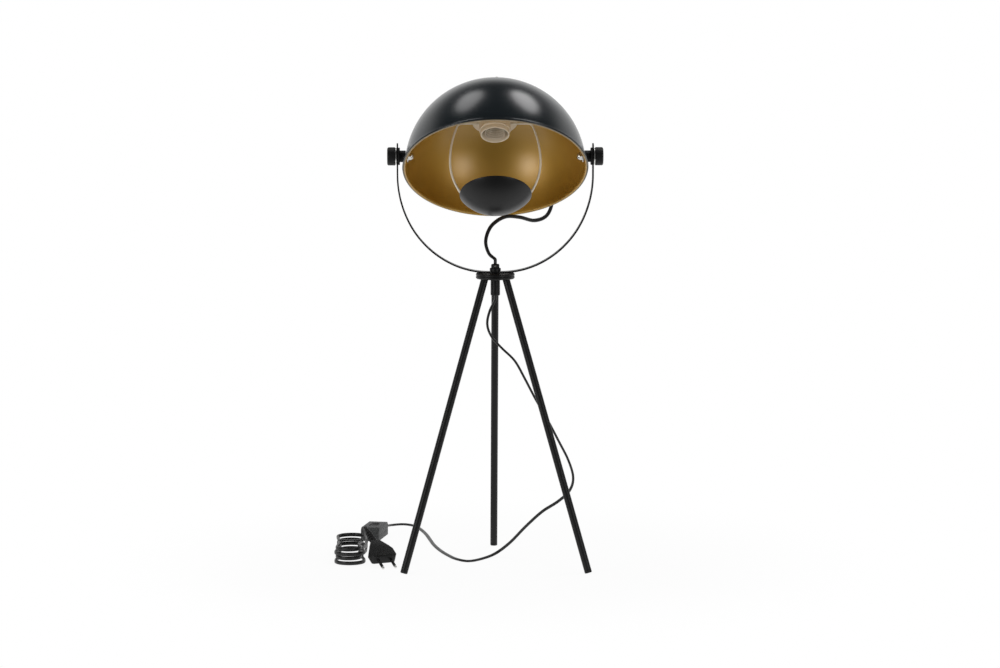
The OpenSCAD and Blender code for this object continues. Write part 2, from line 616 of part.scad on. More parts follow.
// Yoke
module band(r, a, b) intersection() {
    difference() {
        circle(r = r + yoke_t / 2, $fn = 256);
        circle(r = r - yoke_t / 2, $fn = 256);
    }
    polygon([[0, 0], far * [sin(a), -cos(a)], far * [sin((a + b) / 2), -cos((a + b) / 2)],
        far * [sin(b), -cos(b)]]);
}
module yoke_joint(c, r, a) translate(c + r * [sin(a), -cos(a)]) circle(d = yoke_t + joint_over, $fn = 32);
module yoke_half() {
    foot_c = [yoke_land, foot_bend_r];
    side_c = foot_c + (foot_bend_r - side_bend_r) * [bend_in, -bend_up];
    shoulder_c = [yoke_mid - shoulder_r, yoke_rise];
    translate([-0.01, -yoke_t / 2]) square([yoke_land + 0.01, yoke_t]);
    yoke_joint(foot_c, foot_bend_r, 0);
    translate(foot_c) band(foot_bend_r, 0, bend_angle);
    yoke_joint(foot_c, foot_bend_r, bend_angle);
    yoke_joint(shoulder_c, shoulder_r, 90 - bend_angle);
    yoke_joint(shoulder_c, shoulder_r, 90);
    translate(side_c) band(side_bend_r, bend_angle, 90 - bend_angle);
    translate(shoulder_c) band(shoulder_r, 90 - bend_angle, 90);
    translate([yoke_in, yoke_rise]) square([yoke_t, ear_under + ear_over]);
}
module yoke() color([0.1, 0.1, 0.1]) at_hub() difference() {
    intersection() {
        translate([0, 0, yoke_z + yoke_t / 2]) rotate([90, 0, 0])
            linear_extrude(yoke_w, center = true) {
                yoke_half();
                mirror([1, 0]) yoke_half();
            }
        union() {
            translate([-far / 2, -yoke_w, 0]) cube([far, 2 * yoke_w, pivot_z + ear_over - yoke_w / 2]);
            translate([0, 0, pivot_z + ear_over - yoke_w / 2]) rotate([0, 90, 0])
                cylinder(d = yoke_w, h = far, center = true);
        }
    }
    translate([0, 0, yoke_z - 1]) cylinder(d = nipple_hole_d, h = yoke_t + 2);
    translate([0, 0, pivot_z]) rotate([0, 90, 0]) cylinder(d = stud_hole_d, h = far, center = true);
}

// Hub
module hub_plate() color([0.1, 0.1, 0.1]) at_hub() difference() {
    translate([0, 0, hub_height]) rotate_extrude() difference() {
        polygon([[0, 0], [plate_d / 2 - plate_chamfer, 0], [plate_d / 2, plate_chamfer],
            [plate_d / 2, plate_t - plate_chamfer], [plate_d / 2 - plate_chamfer, plate_t], [0, plate_t]]);
        translate([plate_d / 2, plate_t / 2]) circle(r = plate_groove, $fn = 24);
    }
    translate([0, 0, hub_height - 1]) cylinder(d = nipple_hole_d, h = plate_t + 2);
    all_legs() cylinder(d = leg_stud_d, h = 2 * leg_stud_in, center = true);
}
module hub_nipple() color("goldenrod") at_hub()
    tube_ring(nipple_d, nipple_bore, nipple_low_z, grip_z + grip_seat - nipple_low_z);
module hub_nut() color("black") at_hub() difference() {
    translate([0, 0, nut_z]) rounded_disc(ring_nut_d, ring_nut_h, 0.8);
    translate([0, 0, nut_z - 1]) cylinder(d = nipple_d, h = ring_nut_h + 2);
}
module swivel_washer() color("silver") at_hub()
    tube_ring(ring_nut_d - 1, nipple_hole_d, yoke_z + yoke_t, swivel_washer_t);
module hub_grip() color("black") at_hub() grip(grip_z);
module hub_screw() color("silver") at_hub() grip_screw(grip_z);
module hub_sleeve() color("black") at_hub() difference() {
    translate([0, 0, sleeve_z]) rotate_extrude() polygon([[0, 0], [sleeve_d / 2 - 0.8, 0],
        [sleeve_d / 2, 0.8], [sleeve_d / 2, sleeve_l], [0, sleeve_l]]);
    translate([0, 0, sleeve_z - 1]) cylinder(d = nipple_bore, h = sleeve_l + 2);
    translate([0, 0, nipple_low_z]) cylinder(d = nipple_d, h = sleeve_l);
}
module inner_cord() color([0.05, 0.05, 0.05]) at_hub() {
    low = lower_sides[len(lower_sides) - 1];
    top = upper_sides[len(upper_sides) - 1];
    facing = low * top < 0 ? -1 : 1;
    steps = [0:0.2:1];
    tube([for (f = steps) [0, 0, sleeve_z + f * (grip_top - sleeve_z)]],
        [for (f = steps) unit((1 - f) * facing * low + f * top)], cord_sides);
}

// Legs: the third one points away from the viewer
module on_leg(turn) rotate([0, 0, turn]) translate([leg_ring, 0, hub_height])
    rotate([0, 180 - splay, 0]) children();
module all_legs() for (turn = [-150, -30, 90]) on_leg(turn) children();
module leg(turn) color([0.1, 0.1, 0.1]) at_hub() difference() {
    on_leg(turn) difference() {
        translate([0, 0, -leg_d]) cylinder(d = leg_d, h = cap_face - foot_head + leg_d);
        translate([0, 0, -2 * leg_d]) cylinder(d = leg_in_d, h = far);
    }
    translate([0, 0, hub_height]) cylinder(d = plate_d * 2, h = 3 * leg_d);
}
module leg_front_left() leg(-150);
module leg_front_right() leg(-30);
module leg_rear() leg(90);
module leg_studs() color("silver") at_hub() {
    all_legs() translate([0, 0, -leg_stud_in]) cylinder(d = leg_stud_d, h = leg_stud_in + leg_plug_l);
    all_legs() translate([0, 0, 2]) cylinder(d = leg_in_d, h = leg_plug_l);
}
module foot_caps() color([0.04, 0.04, 0.04]) at_hub() difference() {
    all_legs() {
        translate([0, 0, cap_face - foot_head]) rounded_disc(leg_d, foot_head, foot_round);
        translate([0, 0, cap_face - foot_head - foot_stem])
            cylinder(d = leg_in_d, h = foot_stem + 1);
    }
    translate([-far / 2, -far / 2, -far]) cube(far);
}

// Cord
module upper_cord() color([0.05, 0.05, 0.05]) at_hub() tube(upper_path, upper_sides, cord_sides);
module lower_cord() color([0.05, 0.05, 0.05]) at_hub() tube(lower_path, lower_sides, cord_sides);
module cord_hank() color([0.05, 0.05, 0.05]) at_hub() tube(hank_path, hank_rolls, hank_sides);
module tie_block(grow) {
    w = 2 * (hank_fold_r * (1 - hank_waist) + cord_t / 2 + tie_play + grow);
    z = hank_z - cord_w / 2 - tie_play - grow;
    h = hank_top + tie_play + grow - z;
    r = 2 + grow;
    translate([0, 0, z + h / 2]) rotate([90, 0, 0]) linear_extrude(tie_w + grow, center = true) {
        square([w - 2 * r, h], center = true);
        square([w, h - 2 * r], center = true);
        for (x = [-1, 1], y = [-1, 1]) translate([x * (w / 2 - r), y * (h / 2 - r)]) circle(r = r);
    }
}
module cord_tie() color([0.15, 0.15, 0.15]) at_hub() translate([hank_at[0], hank_at[1], 0])
    intersection() {
        difference() {
            tie_block(tie_t);
            tie_block(0);
        }
        cube([far, tie_w, far], center = true);
    }

// Cord switch, its length along X
module at_switch() at_hub() translate([switch_at[0], switch_at[1], 0])
    rotate([0, 0, -90 - switch_heading]) children();
module switch_plan(w, l) {
    square([l - 2 * switch_round, w], center = true);
    square([l, w - 2 * switch_round], center = true);
    for (x = [-1, 1], y = [-1, 1]) translate([x * (l / 2 - switch_round), y * (w / 2 - switch_round)])
        circle(r = switch_round);
}
module switch_block(inset) intersection() {
    linear_extrude(switch_h) switch_plan(switch_w - 2 * inset, switch_l - 2 * inset);
    rotate([90, 0, 0]) linear_extrude(switch_w + 2, center = true) {
        a = switch_l / 2 - inset;
        polygon([[-a, base_h - 4], [-a + 2, inset], [a - 2, inset], [a, base_h - 4], [a, base_h + 3],
            [a - 9, switch_h - inset], [-a + 9, switch_h - inset], [-a, base_h + 3]]);
    }
}
module switch_shell() difference() {
    switch_block(0);
    difference() {
        switch_block(switch_wall);
        for (x = switch_posts) translate([x, 0, 0]) cylinder(d = 7, h = switch_h);
    }
}
module base_side() translate([0, 0, base_h / 2]) cube([far, far, base_h], center = true);
module switch_base() color([0.16, 0.16, 0.17]) at_switch() difference() {
    intersection() {
        switch_shell();
        base_side();
    }
    for (x = switch_posts) translate([x, 0, -1]) {
        cylinder(d = switch_screw_d, h = switch_h);
        cylinder(d = 2 * switch_screw_d, h = 3);
    }
}
module switch_cover() color([0.16, 0.16, 0.17]) at_switch() difference() {
    union() {
        difference() {
            switch_shell();
            base_side();
        }
        for (y = [-1, 1]) translate([0, y * (rocker_w / 2 + rocker_gap + 1.5), rocker_axis_z]) {
            rotate([90, 0, 0]) cylinder(d = axle_d + 3, h = 3, center = true);
            translate([-axle_d, -1.5, 0]) cube([2 * axle_d, 3, switch_h - rocker_axis_z - 1]);
        }
    }
    translate([0, 0, switch_h])
        cube([rocker_l + 2 * rocker_gap, rocker_w + 2 * rocker_gap, 2 * rocker_depth], center = true);
    translate([0, 0, rocker_axis_z]) rotate([90, 0, 0])
        cylinder(d = axle_d + 2 * axle_play, h = rocker_w + 5, center = true);
    for (x = switch_posts) translate([x, 0, base_h - 1]) cylinder(d = switch_screw_d, h = 5);
}
module switch_rocker() color([0.05, 0.05, 0.05]) at_switch() translate([0, 0, rocker_axis_z])
    rotate([0, rocker_angle, 0]) {
        rotate([90, 0, 0]) linear_extrude(rocker_w, center = true) polygon([[-rocker_l / 2 + 0.6, 3],
            [-rocker_l / 2 + 0.6, 5.4], [0, 4.6], [rocker_l / 2 - 0.6, 5.4], [rocker_l / 2 - 0.6, 3],
            [3, -3], [-3, -3]]);
        rotate([90, 0, 0]) cylinder(d = axle_d, h = rocker_w + 4, center = true);
    }
module switch_screws() color("silver") at_switch() for (x = switch_posts) translate([x, 0, 0.4]) {
    cylinder(d = switch_screw_d, h = base_h + 2.5);
    cylinder(d = 2 * switch_screw_d - 0.4, h = 1.6);
}

// Plug: drawn from the pin tips backwards along +X
module at_plug() at_hub() translate([plug_tip[0], plug_tip[1], plug_tip_z])
    rotate([0, 0, 90 + plug_heading]) rotate([0, -plug_slope, 0]) children();
module plug_outline() {
    neck = 6.5;
    polygon([[0, -plug_w / 2 + 3], [3, -plug_w / 2], [plug_l * 0.42, -plug_w / 2], [plug_l, -neck],
        [plug_l, neck], [plug_l * 0.42, plug_w / 2], [3, plug_w / 2], [0, plug_w / 2 - 3]]);
}
module plug_body() color([0.08, 0.08, 0.08]) at_plug() translate([pin_l, 0, 0]) difference() {
    union() {
        intersection() {
            linear_extrude(plug_t, center = true) plug_outline();
            rotate([90, 0, 0]) linear_extrude(plug_w + 2, center = true) polygon([[0, -plug_t / 2 + 1.5],
                [1.5, -plug_t / 2], [plug_l * 0.6, -plug_t / 2], [plug_l, -5.4], [plug_l, 5.4],
                [plug_l * 0.6, plug_t / 2], [1.5, plug_t / 2], [0, plug_t / 2 - 1.5]]);
        }
        translate([plug_l - 1, 0, 0]) rotate([0, 90, 0]) rotate_extrude() relief_profile();
    }
    for (y = [-1, 1]) translate([-1, y * pin_pitch / 2, 0]) rotate([0, 90, 0])
        cylinder(d = pin_stem_d, h = 9);
}
module relief_profile() {
    pitch = (relief_l - 4) / relief_ribs;
    polygon([[0, 0], [4.6, 0], [3.4, relief_l + 1], [0, relief_l + 1]]);
    for (i = [0:relief_ribs - 1]) translate([0, 1 + i * pitch])
        square([5.2 - 0.25 * i, pitch * 0.6]);
}
module plug_pins() color("silver") at_plug() for (y = [-1, 1]) translate([0, y * pin_pitch / 2, 0])
    rotate([0, 90, 0]) {
        translate([0, 0, 0.8]) cylinder(d = pin_d, h = pin_l - 0.8);
        translate([0, 0, pin_l - 0.1]) cylinder(d = pin_stem_d, h = 8.1);
        cylinder(d1 = pin_d - 1.4, d2 = pin_d, h = 0.8);
    }

shade_shell();
crown_nut();
crown_grip();
crown_screw();
crown_nipple();
holder_cord();
holder_lock_nut();
holder_cap();
holder_skirt();
holder_shade_ring();
holder_insert();
lamp_thread_shell();
centre_contact();
guard_wire();
reflector_dish();
pivot_studs();
pivot_seats();
pivot_nuts();
pivot_spacers();
inner_washers();
outer_washers();
knob_left();
knob_right();
yoke();
upper_cord();
hub_plate();
hub_nipple();
hub_nut();
swivel_washer();
hub_grip();
hub_screw();
hub_sleeve();
inner_cord();
leg_front_left();
leg_front_right();
leg_rear();
leg_studs();
foot_caps();
lower_cord();
switch_base();
switch_cover();
switch_rocker();
switch_screws();
cord_hank();
cord_tie();
plug_body();
plug_pins();

// Least gap of the hank to itself, on points of its surface that are not neighbours along it
function outline(i) = let (r = ring(hank_path[i], tangent(hank_path, i), hank_rolls[i], hank_sides))
    concat(r, [for (k = [0:hank_sides - 1]) (r[k] + r[(k + 1) % hank_sides]) / 2]);
outlines = [for (i = [0:len(hank_path) - 1]) outline(i)];
near_pairs = [for (i = [0:len(hank_path) - 1], j = [i + 4:1:len(hank_path) - 1])
    if (norm(hank_path[i] - hank_path[j]) < 3 * cord_w) [i, j]];
echo(least_hank_gap = min([for (q = near_pairs, a = outlines[q[0]], b = outlines[q[1]]) norm(a - b)]));
function run_length(p) = [for (i = [1:len(p) - 1]) norm(p[i] - p[i - 1])] * [for (i = [1:len(p) - 1]) 1];
echo(upper_cord_length = run_length(upper_path), lower_cord_length = run_length(lower_path),
    hank_length = run_length(hank_path));
echo(hub_y = hub_y, pivot_z = pivot_z, splay = splay, dish_rim_h = dish_rim_h, dish_centre_h = dish_centre_h,
    bends = [foot_bend_r, side_bend_r], plug_rear = plug_rear);
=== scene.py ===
# %% [markdown]
# # A tripod table lamp with a tilting spun shade
# The lamp stands on three thin steel tubes. A flat steel strip, bent to a U, turns on the hub
# and carries a bowl that tilts between two clamping knobs. The bowl is gloss black outside and
# satin gold inside. A small black dish on a cream wire hides the bulb, and a flat twin cord runs
# from the top of the bowl through the hub to a switch, a hank and a plug on the floor.
#
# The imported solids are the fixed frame. Each piece below is dressed in its own solid's place.

# %% Load the frame
import json
import math

import bmesh
import bpy
from mathutils import Matrix, Vector


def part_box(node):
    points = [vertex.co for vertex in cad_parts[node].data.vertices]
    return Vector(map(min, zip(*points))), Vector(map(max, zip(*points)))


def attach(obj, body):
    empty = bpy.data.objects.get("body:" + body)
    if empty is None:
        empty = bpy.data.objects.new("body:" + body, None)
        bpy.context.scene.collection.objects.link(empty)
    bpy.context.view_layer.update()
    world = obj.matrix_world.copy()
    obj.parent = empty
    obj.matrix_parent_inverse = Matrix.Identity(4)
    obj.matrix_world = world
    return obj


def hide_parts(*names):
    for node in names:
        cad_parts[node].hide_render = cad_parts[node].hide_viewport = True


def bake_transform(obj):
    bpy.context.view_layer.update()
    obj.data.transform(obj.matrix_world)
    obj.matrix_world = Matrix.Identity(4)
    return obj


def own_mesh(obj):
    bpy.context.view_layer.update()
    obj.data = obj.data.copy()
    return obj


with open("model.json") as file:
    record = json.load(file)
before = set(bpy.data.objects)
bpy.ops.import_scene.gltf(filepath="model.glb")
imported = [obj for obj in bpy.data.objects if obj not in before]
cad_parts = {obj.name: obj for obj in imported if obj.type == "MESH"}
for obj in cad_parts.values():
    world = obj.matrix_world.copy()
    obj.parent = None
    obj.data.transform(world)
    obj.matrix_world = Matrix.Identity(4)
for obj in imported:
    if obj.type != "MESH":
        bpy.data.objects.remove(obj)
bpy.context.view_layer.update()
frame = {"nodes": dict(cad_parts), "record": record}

bpy.ops.object.select_all(action="DESELECT")

# %% [markdown]
# ## Where things are
# The drawing of the lamp measures from the hub's upright axis, in millimetres. The frame is in
# metres, and its origin lies a little in front of that axis. Each piece could be moved there by
# its own sums, but two matrices do it for all: one for the hub and one for the leaning shade. In
# the shade, heights start at the plane of the bowl's rim, and the tilt axis lies 21 mm over it.

# %% Places of the hub and the shade
MM = 0.001
SHADE_LEAN = math.radians(34.6)
PIVOT_H = 21


def middle_of(node):
    low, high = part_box(node)
    return (low + high) / 2


HUB_Y = middle_of("hub_plate").y
PIVOT_Z = middle_of("outer_washers").z / MM
AT_HUB = Matrix.Translation((0, HUB_Y, 0)) @ Matrix.Scale(MM, 4)
IN_SHADE = (AT_HUB @ Matrix.Translation((0, 0, PIVOT_Z)) @ Matrix.Rotation(-SHADE_LEAN, 4, "X")
            @ Matrix.Translation((0, 0, -PIVOT_H)))
print(f"hub axis at y = {HUB_Y / MM:.2f} mm, tilt axis at z = {PIVOT_Z:.2f} mm")


def on_pivot(side):
    """The tilt axis as an upright Z that points outwards on one side, -1 left and 1 right."""
    return AT_HUB @ Matrix.Translation((0, 0, PIVOT_Z)) @ Matrix.Rotation(side * math.pi / 2, 4, "Y")


# %% [markdown]
# ## The camera
# The photograph was taken from a little above and from far away, which keeps the three legs
# nearly parallel to the picture. A short lens close by would spread them. So a long lens stands
# 4.2 m from the hub and gives the same view.

# %% Camera
CAMERA_AT = AT_HUB @ Vector((-63.5, -4200, 782.3))
CAMERA_TO = AT_HUB @ Vector((6.5, 0, 321.3))
LENS, SENSOR_WIDTH = 110.3, 36
camera_data = bpy.data.cameras.new("studio_camera")
camera_data.sensor_width = SENSOR_WIDTH
camera_data.lens = LENS
camera = bpy.data.objects.new("studio_camera", camera_data)
bpy.context.scene.collection.objects.link(camera)
camera.location = CAMERA_AT
camera.rotation_euler = (CAMERA_TO - CAMERA_AT).to_track_quat("-Z", "Y").to_euler()
bpy.context.scene.camera = camera
print("camera at", [round(x, 3) for x in camera.location], "with a lens of", LENS, "mm")

# %% [markdown]
# ## Finishes
# Every finish is a node material. A flat colour would do for a sketch, but real paint has a fine
# unevenness that breaks up the light, and patches where it shines a little more. All the finishes
# share these two, so they are built once, as a node group. A group only puts out numbers, masks
# and normals, and the Principled shader stays in the material.

# %% Helper for node trees


def node(tree, kind, **settings):
    """Adds a node; settings name its properties, or its inputs where it has no such property."""
    made = tree.nodes.new(kind)
    for name, value in settings.items():
        if hasattr(made, name):
            setattr(made, name, value)
        else:
            made.inputs[name.replace("_", " ")].default_value = value
    return made


def new_group(name, inputs, outputs):
    """A shader node group with float inputs {name: value} and outputs {name: socket type}."""
    tree = bpy.data.node_groups.new(name, "ShaderNodeTree")
    for label, value in inputs.items():
        socket = tree.interface.new_socket(name=label, in_out="INPUT", socket_type="NodeSocketFloat")
        socket.default_value = value
    for label, kind in outputs.items():
        tree.interface.new_socket(name=label, in_out="OUTPUT", socket_type=kind)
    start = tree.nodes.new("NodeGroupInput")
    end = tree.nodes.new("NodeGroupOutput")
    return tree, start, end


# %% The shared surface group
surface_group, group_in, group_out = new_group(
    "paint_surface",
    {"Grain size": 600.0, "Grain": 0.1, "Patches": 30.0, "Roughness": 0.4, "Spread": 0.1},
    {"Roughness": "NodeSocketFloat", "Mask": "NodeSocketFloat", "Normal": "NodeSocketVector"},
)
place = node(surface_group, "ShaderNodeTexCoord")
fine = node(surface_group, "ShaderNodeTexNoise", Detail=2.0)
broad = node(surface_group, "ShaderNodeTexNoise", Detail=3.0)
spread = node(surface_group, "ShaderNodeMath", operation="MULTIPLY_ADD")
centred = node(surface_group, "ShaderNodeMath", operation="SUBTRACT")
centred.inputs[1].default_value = 0.5
bump = node(surface_group, "ShaderNodeBump", Distance=0.0002)
link = surface_group.links.new
link(place.outputs["Object"], fine.inputs["Vector"])
link(place.outputs["Object"], broad.inputs["Vector"])
link(group_in.outputs["Grain size"], fine.inputs["Scale"])
link(group_in.outputs["Patches"], broad.inputs["Scale"])
link(broad.outputs["Fac"], centred.inputs[0])
link(centred.outputs[0], spread.inputs[0])
link(group_in.outputs["Spread"], spread.inputs[1])
link(group_in.outputs["Roughness"], spread.inputs[2])
link(group_in.outputs["Grain"], bump.inputs["Strength"])
link(fine.outputs["Fac"], bump.inputs["Height"])
link(spread.outputs[0], group_out.inputs["Roughness"])
link(broad.outputs["Fac"], group_out.inputs["Mask"])
link(bump.outputs["Normal"], group_out.inputs["Normal"])
print("group paint_surface has", len(surface_group.nodes), "nodes")


# %% A material from two close colours and the shared group


def painted(name, dark, light, roughness, spread_by=0.1, grain=0.1, grain_size=600.0, patches=30.0,
            **shader):
    """A material whose colour drifts between two close colours, with the shared surface."""
    material = bpy.data.materials.new(name)
    material.use_nodes = True
    tree = material.node_tree
    principled = tree.nodes["Principled BSDF"]
    surface = node(tree, "ShaderNodeGroup", node_tree=surface_group)
    values = {"Grain size": grain_size, "Grain": grain, "Patches": patches,
              "Roughness": roughness, "Spread": spread_by}
    for label, value in values.items():
        surface.inputs[label].default_value = value
    mix = node(tree, "ShaderNodeMix", data_type="RGBA")
    mix.inputs["A"].default_value = (*dark, 1)
    mix.inputs["B"].default_value = (*light, 1)
    tree.links.new(surface.outputs["Mask"], mix.inputs["Factor"])
    tree.links.new(mix.outputs["Result"], principled.inputs["Base Color"])
    tree.links.new(surface.outputs["Roughness"], principled.inputs["Roughness"])
    tree.links.new(surface.outputs["Normal"], principled.inputs["Normal"])
    for label, value in shader.items():
        principled.inputs[label.replace("_", " ")].default_value = value
    material.diffuse_color = (*light, 1)
    return material


def grey(value):
    return (value, value, value)


# %% [markdown]
# The bowl is stove-enamelled outside and sprayed with satin gold paint inside. The gold is partly
# metallic under a broad clear coat, because a plain metal would show only a mirror of the studio,
# and a plain paint would lose its glow. The strip, the hub and the legs are satin black paint on
# steel. The mouldings are black, dark grey and cream plastic, and the small turned pieces plated.

# %% The paints
BLACK_DARK, BLACK_LIGHT = grey(0.0035), grey(0.0065)
gloss_black = painted("gloss_black_enamel", (0.005, 0.008, 0.010), (0.008, 0.012, 0.015), 0.24,
                      spread_by=0.06, grain=0.03, grain_size=900, patches=14)
satin_gold = painted("satin_gold_paint", (0.45, 0.248, 0.018), (0.52, 0.303, 0.028), 0.5,
                     spread_by=0.08, grain=0.12, grain_size=1500, patches=12, Metallic=0.75,
                     Coat_Weight=1.0, Coat_Roughness=0.33, Coat_IOR=1.65)
# The pale band on the bowl's rolled edge is painted light from the floor below, not a paint of its own.
painted_edge_light = painted("rolled_edge_painted_light", (0.18, 0.14, 0.085), (0.23, 0.185, 0.115), 0.4,
                     spread_by=0.08, grain=0.1, grain_size=1200, patches=20)
dish_black = painted("dish_black_paint", BLACK_DARK, BLACK_LIGHT, 0.36, spread_by=0.08,
                     grain=0.08, grain_size=1200, patches=30, Specular_IOR_Level=0.3)
satin_black = painted("satin_black_paint", BLACK_DARK, BLACK_LIGHT, 0.42, spread_by=0.14,
                      grain=0.18, grain_size=1400, patches=45, Specular_IOR_Level=0.25)
cream_enamel = painted("cream_wire_enamel", (0.70, 0.64, 0.52), (0.76, 0.71, 0.60), 0.3,
                       spread_by=0.1, grain=0.05, grain_size=900, patches=50)
print(len(bpy.data.materials), "materials with the six paints")

# %% Plastics, ceramic and bare metal
black_plastic = painted("black_moulding", grey(0.005), grey(0.009), 0.5, spread_by=0.12,
                        grain=0.25, grain_size=1800, patches=60, Specular_IOR_Level=0.25)
switch_plastic = painted("dark_grey_moulding", (0.022, 0.024, 0.024), (0.032, 0.034, 0.034), 0.5,
                         spread_by=0.12, grain=0.3, grain_size=1700, patches=60,
                         Specular_IOR_Level=0.4)
cord_jacket = painted("cord_jacket", grey(0.007), grey(0.012), 0.4, spread_by=0.16,
                      grain=0.15, grain_size=900, patches=80, Specular_IOR_Level=0.35)
cream_plastic = painted("cream_moulding", (0.78, 0.67, 0.51), (0.84, 0.75, 0.60), 0.36,
                        spread_by=0.08, grain=0.06, grain_size=900, patches=25)
ceramic = painted("glazed_ceramic", (0.74, 0.72, 0.66), (0.80, 0.79, 0.74), 0.25,
                  spread_by=0.08, grain=0.04, grain_size=700, patches=30)
plated = painted("zinc_plating", (0.60, 0.60, 0.58), (0.72, 0.72, 0.70), 0.28,
                 spread_by=0.16, grain=0.08, grain_size=1200, patches=150, Metallic=1.0)
brass = painted("dull_plated_brass", (0.74, 0.66, 0.55), (0.82, 0.75, 0.64), 0.45,
                spread_by=0.18, grain=0.08, grain_size=1200, patches=120, Metallic=0.6)
print(len(bpy.data.materials), "materials in all")

# %% [markdown]
# ## How the pieces are made
# Most of the lamp was turned, spun or bent, so most of its pieces are made the same way: a single
# point is drawn along a profile by extruding it, and the profile is spun about an axis. A mesh
# could be written down point by point instead, but a profile reads like a drawing of the piece.
# Each piece is drawn round the origin, in millimetres, and its matrix then carries it into the
# frame and is applied, so that the object itself stays at the origin.

# %% Selecting and drawing
MERGE_WITHIN, SAME_PLACE, ON_AXIS = 0.0005, 0.0001, 0.001
MODE_OF = {"verts": "VERT", "edges": "EDGE", "faces": "FACE"}


def made_active(piece):
    """Selects one piece and nothing else, and makes it the active one."""
    bpy.ops.object.select_all(action="DESELECT")
    piece.select_set(True)
    bpy.context.view_layer.objects.active = piece
    return piece


def start_point(name, at):
    """A new mesh of one point, in edit mode with the point selected."""
    bpy.ops.object.select_all(action="DESELECT")
    bpy.ops.mesh.primitive_plane_add(size=1)
    piece = bpy.context.active_object
    piece.name = piece.data.name = name
    bpy.ops.object.mode_set(mode="EDIT")
    bpy.ops.mesh.select_mode(type="VERT")
    bpy.ops.mesh.select_all(action="SELECT")
    bpy.ops.mesh.merge(type="CENTER")
    bpy.ops.transform.translate(value=at)
    return piece


def pick(piece, kind, keep):
    """Selects the verts, edges or faces for which keep is true, and nothing else."""
    bpy.ops.mesh.select_mode(type=MODE_OF[kind])
    bpy.ops.mesh.select_all(action="DESELECT")
    mesh = bmesh.from_edit_mesh(piece.data)
    for part in getattr(mesh, kind):
        if keep(part):
            part.select_set(True)
    mesh.select_flush_mode()
    bmesh.update_edit_mesh(piece.data)


def drawn(name, points, closed):
    """A line through the points, in edit mode and selected; closed joins its two ends."""
    piece = start_point(name, points[0])
    for before, after in zip(points, points[1:]):
        step = Vector(after) - Vector(before)
        bpy.ops.mesh.extrude_vertices_move(TRANSFORM_OT_translate={"value": step})
    if closed:
        ends = [Vector(points[0]), Vector(points[-1])]
        pick(piece, "verts", lambda v: min((v.co - e).length for e in ends) < SAME_PLACE)
        bpy.ops.mesh.edge_face_add()
    bpy.ops.mesh.select_all(action="SELECT")
    return piece


def close_up(piece):
    """Merges doubles and turns every face outwards, then leaves edit mode."""
    bpy.ops.mesh.select_mode(type="VERT")
    bpy.ops.mesh.select_all(action="SELECT")
    bpy.ops.mesh.remove_doubles(threshold=MERGE_WITHIN)
    bpy.ops.mesh.normals_make_consistent(inside=False)
    bpy.ops.object.mode_set(mode="OBJECT")
    return piece


# %% Placing and dressing a piece


def put(piece, matrix):
    """Carries a piece to its place and applies the place to its mesh."""
    made_active(piece)
    piece.matrix_world = matrix @ piece.matrix_world
    bpy.ops.object.transform_apply(location=True, rotation=True, scale=True)
    return piece


def dress(piece, material, body, slot, *nodes, smooth=35):
    """Gives a finished piece its material and body, hides the solids it stands for; the slot is not
    used.

    A piece that is painted already has None as its material, and one that is left on no body
    has None as its body.
    """
    made_active(piece)
    bpy.ops.object.shade_smooth_by_angle(angle=math.radians(smooth))
    if material:
        piece.data.materials.clear()
        piece.data.materials.append(material)
    if body:
        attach(piece, body)
    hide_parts(*nodes)
    print(f"{piece.name}: {len(piece.data.polygons)} faces, on {body or 'two bodies'}")
    return piece


def fit(piece, place, *looks, **more):
    """Puts a finished piece in its place and dresses it."""
    return dress(put(piece, place), *looks, **more)


# %% Turning a profile


def arc(centre, radius, start, end, steps):
    """Points on an arc in the profile's plane, angles in degrees."""
    turns = [math.radians(start + (end - start) * i / steps) for i in range(steps + 1)]
    return [(centre[0] + radius * math.cos(turn), centre[1] + radius * math.sin(turn))
            for turn in turns]


def turned(name, profile, steps=96):
    """Spins a profile of (radius, height) points about Z into a closed piece."""
    off_axis = max(profile[0][0], profile[-1][0]) > ON_AXIS
    piece = drawn(name, [(radius, 0, height) for radius, height in profile], off_axis)
    bpy.ops.mesh.spin(steps=steps, angle=math.tau, center=(0, 0, 0), axis=(0, 0, 1))
    return close_up(piece)


# %% [markdown]
# ## The cord
# A flat twin cord leaves the nipple on top of the bowl, loops behind the shade and goes into the
# hub. Below the hub it runs along the right leg to the floor, back to the left, through the
# switch, and into a hank that lies beside the lamp with the plug on it. A curve object with a
# bevel could draw a cord, but a flat cord would twist along it. So its oval section is swept here
# along the same points as the solids, smoothed three times finer, and its side is carried along.

# %% The cord's two routes
CORD_W, CORD_T = 5.4, 3.2
GRIP_TOP_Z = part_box("hub_grip")[1].z / MM
SLEEVE_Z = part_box("hub_sleeve")[0].z / MM
LEAD = 6
CROWN_TIP_H = 135.5
CROWN_OUT = Vector((0, math.sin(SHADE_LEAN), math.cos(SHADE_LEAN)))


def shade_point(h):
    """A point on the shade's axis at a height over the rim plane, from the hub axis, in mm."""
    return Vector((0, 0, PIVOT_Z)) + (h - PIVOT_H) * CROWN_OUT


